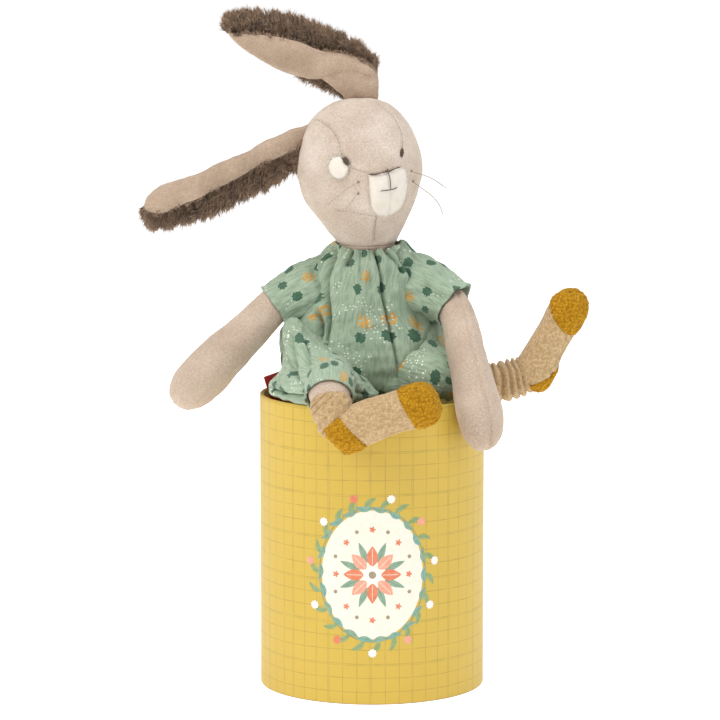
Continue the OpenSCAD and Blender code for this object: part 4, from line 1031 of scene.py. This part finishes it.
muzzle_grid = patch_grid(muzzle_line, (9, 288.5), 26, 0.35, 0.9)
seam_line = [([(10.4, 289), (9.8, 283), (9.2, 275)], 1.0, 0.9), ([(8, 300), (9.6, 296), (9.7, 290)], 0.5, 0.8)]
side_on = np.zeros(muzzle_grid.shape)
side_on[..., 1] = -1
muzzle_grid = muzzle_grid + creased(muzzle_grid, side_on, seam_line)
tufts = fringe(muzzle_grid, 81, 900, 0.8, 0.25, 1.2, 0.9)
muzzle = piece("muzzle_plush", *joined([closed(muzzle_grid, False), tufts]), white_plush, "head", "white_plush",
               ["muzzle_patch"])

cheek_line = [(-19 + 5.9 * math.cos(t) * (1 + 0.04 * math.sin(3 * t)), 302.2 + 6.6 * math.sin(t))
              for t in np.linspace(0, 2 * math.pi, 16, endpoint=False)]
cheek_grid = patch_grid(cheek_line, (-19, 302.2), 18, 0.25, 1.1)
tufts = fringe(cheek_grid, 82, 1500, 1.1, 0.3, 1.3, 0.86)
cheek = piece("cheek_plush", *joined([closed(cheek_grid, False), tufts]), white_plush, "head", "white_plush",
              ["cheek_patch"])

# Embroidered face
# Dark brown thread: satin-stitched eyes, a nose line along the top of the muzzle, a short upright
# line under it and a small mouth. Satin stitch lies in close parallel threads with a soft gloss.

brown_thread, tree = finish_named("embroidery_thread")
spot = put(tree, "TexCoord", {}).outputs["Object"]
strand = put(tree, "TexWave", {"bands_direction": "Z"}, Vector=spot, Scale=900.0, Distortion=1.0).outputs["Fac"]
shade(tree, strand, 0.4, 0.0002, Base_Color=toned(tree, strand, "#3A2A21", "#5B4537"), Roughness=0.5)

for side_name, x, z, wide, high, slant, lift in (("right", -14.5, 305.8, 2.9, 5.6, 24, 1.6),
                                                 ("left", 16.7, 310.2, 2.1, 5.4, -6, 0.2)):
    s = math.radians(slant)
    threads = []
    for k in np.linspace(-1, 1, 9):
        half = high / 2 * math.sqrt(max(0.04, 1 - k * k))
        ends = [(k * wide / 2, half * t) for t in (-1, -0.4, 0.4, 1)]
        threads.append(thread_run([on_face(x + u * math.cos(s) - v * math.sin(s),
                                           z + u * math.sin(s) + v * math.cos(s), lift) for u, v in ends], wide / 6))
    piece("eye_" + side_name + "_stitched", *joined(threads), brown_thread, "head", "brown_thread",
          ["eye_" + side_name])


def on_muzzle(x, z):
    """Point just clear of the muzzle's plush."""
    return on_face(x, z, 1.75)


nose = [thread_run([on_muzzle(x, z + dz) for x, z in line], 0.6) for dz in (0, 0.3) for line in (
    [(-1.7, 298.4), (1.6, 299), (4.6, 299.5), (7.6, 299.9)], [(7, 299.8), (9.4, 300.6), (12, 301.6), (14.6, 302.4)])]
nose += [thread_run([on_muzzle(x, 299.9), on_muzzle(x + 0.5, 301.1), on_muzzle(x + 1.0, 300.1)], 0.4)
         for x in (6.4, 7.4)]
nose.append(thread_run([on_muzzle(x, z) for x, z in [(7.7, 300), (8.9, 297.6), (9.4, 293.6), (9.5, 289.8)]], 0.5))
piece("nose_stitched", *joined(nose), brown_thread, "head", "brown_thread", ["nose_stitch"])
mouth = [thread_run([on_muzzle(x, z) for x, z in [(4.2, 289.6), (6.4, 289.9), (8.6, 290), (10.4, 290.2), (11.9, 290.7),
                                                  (13.2, 291.3)]], 0.45)]
piece("mouth_stitched", *joined(mouth), brown_thread, "head", "brown_thread", ["mouth_stitch"])

# Whiskers
# Single brown bristles, knotted through the cheeks and bent by their own spring.

bristle, tree = finish_named("nylon_bristle")
shade(tree, Base_Color=linear("#8A7868"), Roughness=0.45)
for side_name, wide, runs in (
        ("left", 0.4, [[(22.2, 299.4), (29.4, -26, 297.9), (34.6, -28, 295.8), (42.8, -30, 290.3)],
                       [(23.2, 293.4), (28.2, -25, 290.4), (34.2, -28, 285.9), (38, -29, 281.2), (40.4, -29, 274.9)]]),
        ("right", 0.17, [[(-8, 294.4), (-12, -38, 292.6), (-18, -46, 289), (-27.6, -52, 281.6)],
                         [(-8, 287.8), (-10.4, -40, 286), (-13.2, -48, 283), (-15.6, -53, 279)]])):
    hairs = []
    for root, *bends in runs:
        hairs.append(thread_run([on_face(*root, -0.4)] + [np.array(p) for p in bends], wide))
        knot = on_face(*root, 0.15)
        hairs.append(thread_run([knot + (-0.6, 0, -0.4), knot + (0, -0.35, 0), knot + (0.6, 0, 0.6)], 1.15))
    piece("whiskers_" + side_name + "_bristle", *joined(hairs), bristle, "head", "whisker_bristle",
          ["whiskers_" + side_name])

# Ears
# Each ear is a long leaf of velour lined with brown faux fur, folded along its length and sewn
# on by its narrow end. The fur's pile is about 6 mm and stands past the velour's edges.

long_fur, tree = finish_named("long_pile_fur")
lay = put(tree, "UVMap", {"uv_map": "lay"}).outputs[0]
parts = put(tree, "SeparateXYZ", {}, Vector=lay).outputs
spot = put(tree, "TexCoord", {}).outputs["Object"]
reach = calc(tree, "MULTIPLY_ADD", parts[0], 0.35, parts[1])
mixed = calc(tree, "MULTIPLY_ADD", noise(tree, spot, 120.0, 3.0), 0.9, reach)
shade(tree, Base_Color=toned(tree, ranged(tree, mixed, 0.55, 1.7), "#4A3A2F", "#B2967C"), Roughness=0.6,
      Specular_IOR_Level=0.3, Sheen_Weight=0.2)

ear_velour = velour_finish("cut_pile_velour_ear", "#AD9783", "#B8A28E", "#9C8672")

# Across an ear: share of the way from the fold to the front edge (below 0) or to the back edge, and depth.
ear_section = [(-1, -0.62), (-0.85, -0.86), (-0.6, -1.0), (-0.3, -0.98), (-0.1, -0.7), (0, 0), (0.04, 0.65),
               (0.16, 0.95), (0.4, 1.0), (0.7, 0.97), (0.92, 0.85)]


def ear_sheet(stations, steps):
    """Grid over an ear. Each station is the fold's x, z, the front edge's and the back edge's, then y and depth."""
    rows = through(stations, steps)
    across = through(ear_section, 5)
    fold, front, back = rows[:, None, 0:2], rows[:, None, 2:4], rows[:, None, 4:6]
    share, deep = across[None, :, 0:1], across[None, :, 1:2]
    flat = fold + np.where(share < 0, -share * (front - fold), share * (back - fold))
    y = rows[:, None, 6:7] + deep * rows[:, None, 7:8]
    return np.concatenate([flat[..., :1], y, flat[..., 1:]], axis=2), rows, across


def sheet_normals(grid):
    """Unit normals of an open grid."""
    return unit(np.cross(np.gradient(grid, axis=0), np.gradient(grid, axis=1)))


def thick_sheet(outer, inner):
    """Closed solid between two open grids of the same size."""
    rows, cols = outer.shape[:2]
    n = rows * cols
    verts = np.concatenate([outer.reshape(-1, 3), inner.reshape(-1, 3)])
    faces = woven(rows, cols, False) + [tuple(n + k for k in f) for f in woven(rows, cols, False, True)]
    rim = [j for j in range(cols)] + [i * cols + cols - 1 for i in range(1, rows)]
    rim += [(rows - 1) * cols + j for j in range(cols - 2, -1, -1)] + [i * cols for i in range(rows - 2, 0, -1)]
    faces += [(a, b, n + b, n + a) for a, b in zip(rim, rim[1:] + rim[:1])]
    return [tuple(v) for v in verts], faces


def pile_roots(grid, rows_between, cols_between, count, rule):
    """Points spread evenly over part of an open grid, with the grid's row and column numbers."""
    i = rule.uniform(*rows_between, count)
    j = rule.uniform(*cols_between, count)
    a, b = np.clip(i.astype(int), 0, grid.shape[0] - 2), np.clip(j.astype(int), 0, grid.shape[1] - 2)
    u, v = (i - a)[:, None], (j - b)[:, None]
    point = (grid[a, b] * (1 - u) * (1 - v) + grid[a + 1, b] * u * (1 - v) + grid[a, b + 1] * (1 - u) * v
             + grid[a + 1, b + 1] * u * v)
    return point, a, b


ears = {
    "right": [(-35.5, 325.2, -36, 311.5, -37, 302.6, 4.4, 1.8), (-39.8, 323.8, -40.6, 310.4, -41.6, 300.6, 4, 2.8),
              (-46.5, 322.2, -48.5, 309, -50.5, 294.5, 3.4, 4.8), (-56, 317.8, -57.5, 305, -60.5, 288.5, 2.4, 5.8),
              (-66.5, 312.6, -68, 299.8, -71.6, 283.6, 1, 6), (-88.5, 302.6, -89, 288.6, -91, 273.6, -2, 6),
              (-110, 294, -109, 279.4, -109, 269, -5, 5.8), (-122, 290.2, -121, 275, -121.5, 267.6, -7, 5),
              (-128.6, 285, -128, 275.6, -128.8, 269.6, -8, 3.6),
              (-131.2, 279.5, -131, 275, -131.4, 272.4, -8.5, 1.4)],
    "left": [(-83, 377.6, -84, 379.6, -84.8, 381.6, 9, 1.2), (-79.6, 372.8, -79.8, 377, -81, 385.4, 9, 3.4),
             (-70.5, 365.4, -69.5, 376.6, -71, 388.2, 9.6, 5), (-57, 357.2, -57.5, 375.2, -57, 388.4, 10.6, 5.8),
             (-44, 352, -43, 372, -43, 385.8, 11.6, 6), (-31.2, 350.8, -30, 366.8, -29.5, 380.6, 12, 6),
             (-18.5, 352.4, -17.5, 365.4, -16, 374.6, 12, 5.8), (-8.4, 353.6, -7, 362.2, -6, 368.2, 12, 5),
             (-1.6, 352.4, -0.4, 357.8, 0.8, 360.4, 12, 3.6), (1.4, 349.6, 2.2, 351.6, 2.8, 353.2, 12, 1.4)]}
for side_name, stations in ears.items():
    opens_up = side_name == "left"
    grid, rows, across = ear_sheet(stations, 14)
    facing = sheet_normals(grid)
    if facing[len(grid) // 2, 8, 1] > 0:
        facing = -facing
    rise = ripple(grid, 22, 91) * 0.55 + ripple(grid, 7, 92) * 0.12
    # A soft hollow runs along the front flap, and its cut edge is turned in over a seam.
    rise += -0.5 * np.exp(-((across[None, :, 0] + 0.86) / 0.07) ** 2)
    outer = grid + facing * rise[..., None]
    inner = grid - facing * 1.2
    parts_made = [thick_sheet(outer, inner)]
    if opens_up:
        # The ear's root rises from the crown as a flap and turns under the fold.
        root_rows = through([
            (-6.6, 337.6, 9.8, 11, 1.2), (-6.7, 341, 10.6, 11, 3.2), (-9, 345.2, 12.8, 11.2, 4.4),
            (-12.4, 350, 16.2, 11.6, 4.8), (-15, 354, 18.4, 12, 4.6), (-13.6, 357.4, 16.2, 12, 3.4),
            (-11, 360, 10.4, 12, 1.4)], 6)
        a = np.linspace(0, 2 * math.pi, 64, endpoint=False)
        lobe = np.stack([root_rows[:, None, 0] + root_rows[:, None, 2] * np.cos(a) * np.abs(np.cos(a)) ** -0.12,
                         root_rows[:, None, 3] + root_rows[:, None, 4] * np.sin(a),
                         np.broadcast_to(root_rows[:, None, 1], (len(root_rows), 64))], axis=2)
        lobe += creased(lobe, outward(lobe), [([(-13, 343), (-17, 349), (-24, 354)], 0.7, 1.6),
                                              ([(-2, 343), (-1, 349), (-3, 355)], 0.6, 1.6)])
        lobe += outward(lobe) * (ripple(lobe, 9, 95) * 0.25)[..., None]
        parts_made.append(closed(lobe))
    ear = piece("ear_" + side_name + "_velour", *joined(parts_made), ear_velour, "ear_" + side_name, "velour",
                ["ear_velour_" + side_name])
    faced_out(ear)

    # Fur lining: a thin backing with blades of pile, thickest along the open edge.
    rule = np.random.default_rng(93 if opens_up else 94)
    backing = grid - facing * 1.5
    fold_col = int(np.argmin(np.abs(across[:, 0])))
    cols = grid.shape[1]
    to_back, to_front = (unit(grid[:, k] - grid[:, fold_col]) for k in (-1, 0))
    to_tip = unit(np.gradient(grid[:, fold_col], axis=0) * (-1 if opens_up else 1))
    behind = backing[:, fold_col + 2:]
    sheet = thick_sheet(behind, behind - facing[:, fold_col + 2:] * 0.5)
    tufts = []
    for first, last, count, long, jitter, push, tip_lean in (
            (fold_col + 12, cols - 1, 12500, 6.2, 0.3, 0.55, 0.35), (cols - 4, cols - 1, 3600, 6.6, 0.28, 0.15, 0.3),
            (0, 3, 900, 3.2, 0.3, -0.1, 0.2)):
        root, i, j = pile_roots(backing, (0, len(grid) - 1), (first, last), count, rule)
        on_back = first > fold_col
        edge_way, inward = (to_back[i], -facing[i, j]) if on_back else (to_front[i], facing[i, j] * 0.1)
        clumped = np.stack([ripple(root, 5.5, 96 + k) for k in range(3)], axis=1) * 0.42
        way = edge_way * 0.85 + inward * push + to_tip[i] * tip_lean + clumped
        way += rule.normal(0, jitter * 0.7, (count, 3))
        if on_back:
            # No hair turns back through its own backing.
            short = np.maximum(0.2 + (way * facing[i, j]).sum(axis=1), 0)
            way = way - facing[i, j] * short[:, None]
        tufts.append(blades(root, way, rule, long, 0.7))
    # The tip's pile fans out past the end of the ear.
    end = 0 if opens_up else len(grid) - 1
    root, i, j = pile_roots(backing, (end, end) if end == 0 else (end - 1, end), (3, cols - 2), 700, rule)
    tufts.append(blades(root, to_tip[i] + rule.normal(0, 0.35, (700, 3)), rule, 4.4, 0.6))
    if opens_up:
        # Behind the root the lining shows again, below the fold.
        count = 2600
        t, w = rule.uniform(0, 1, (count, 1)), rule.uniform(0, 1, (count, 1))
        top = np.array([[-43, 15, 353.6]]) * (1 - t) + np.array([[-15, 14, 341]]) * t
        root = top + np.array([[12, 0.5, 6]]) * w + rule.normal(0, 0.5, (count, 3))
        way = np.array([[-0.55, -0.25, -0.8]]) + rule.normal(0, 0.28, (count, 3))
        tufts.append(blades(root, way, rule, 4.6, 0.6))
    lays = np.concatenate([[(300, 100)] * len(sheet[0])] + [lay for _, _, lay in tufts])
    piece("ear_" + side_name + "_fur", *joined([sheet] + [tuft[:2] for tuft in tufts]), long_fur, "ear_" + side_name,
          "long_fur", ["ear_fur_" + side_name], lays)

# Hang tag
# A small plain red card on a white cotton string, tucked upright inside the rim and tied to the
# romper's side seam.

red_card, tree = finish_named("red_card")
spot = put(tree, "TexCoord", {}).outputs["Object"]
pulp = noise(tree, spot, 700.0, 3.0)
shade(tree, pulp, 0.15, 0.0001, Base_Color=toned(tree, pulp, "#B3282E", "#CC3A40"), Roughness=0.5)
finished("hang_tag", red_card)

cotton_string, tree = finish_named("twisted_cotton")
spot = put(tree, "TexCoord", {}).outputs["Object"]
ply = put(tree, "TexWave", {"bands_direction": "DIAGONAL"}, Vector=spot, Scale=600.0).outputs["Fac"]
shade(tree, ply, 0.5, 0.0003, Base_Color=toned(tree, ply, "#DAD6CE", "#F7F5F0"), Roughness=0.85)
string_route = [(-55.2, 14, 175.4), (-54.8, 15.1, 175.6), (-54.3, 16.6, 175.8), (-53.6, 20, 176.9), (-52.9, 24, 178.2),
                (-52.2, 27.5, 178.8)]
faced_out(piece("tag_string_cotton", *thread_run([np.array(p) for p in string_route], 1.0), cotton_string, "torso",
                "string", ["tag_string"]))
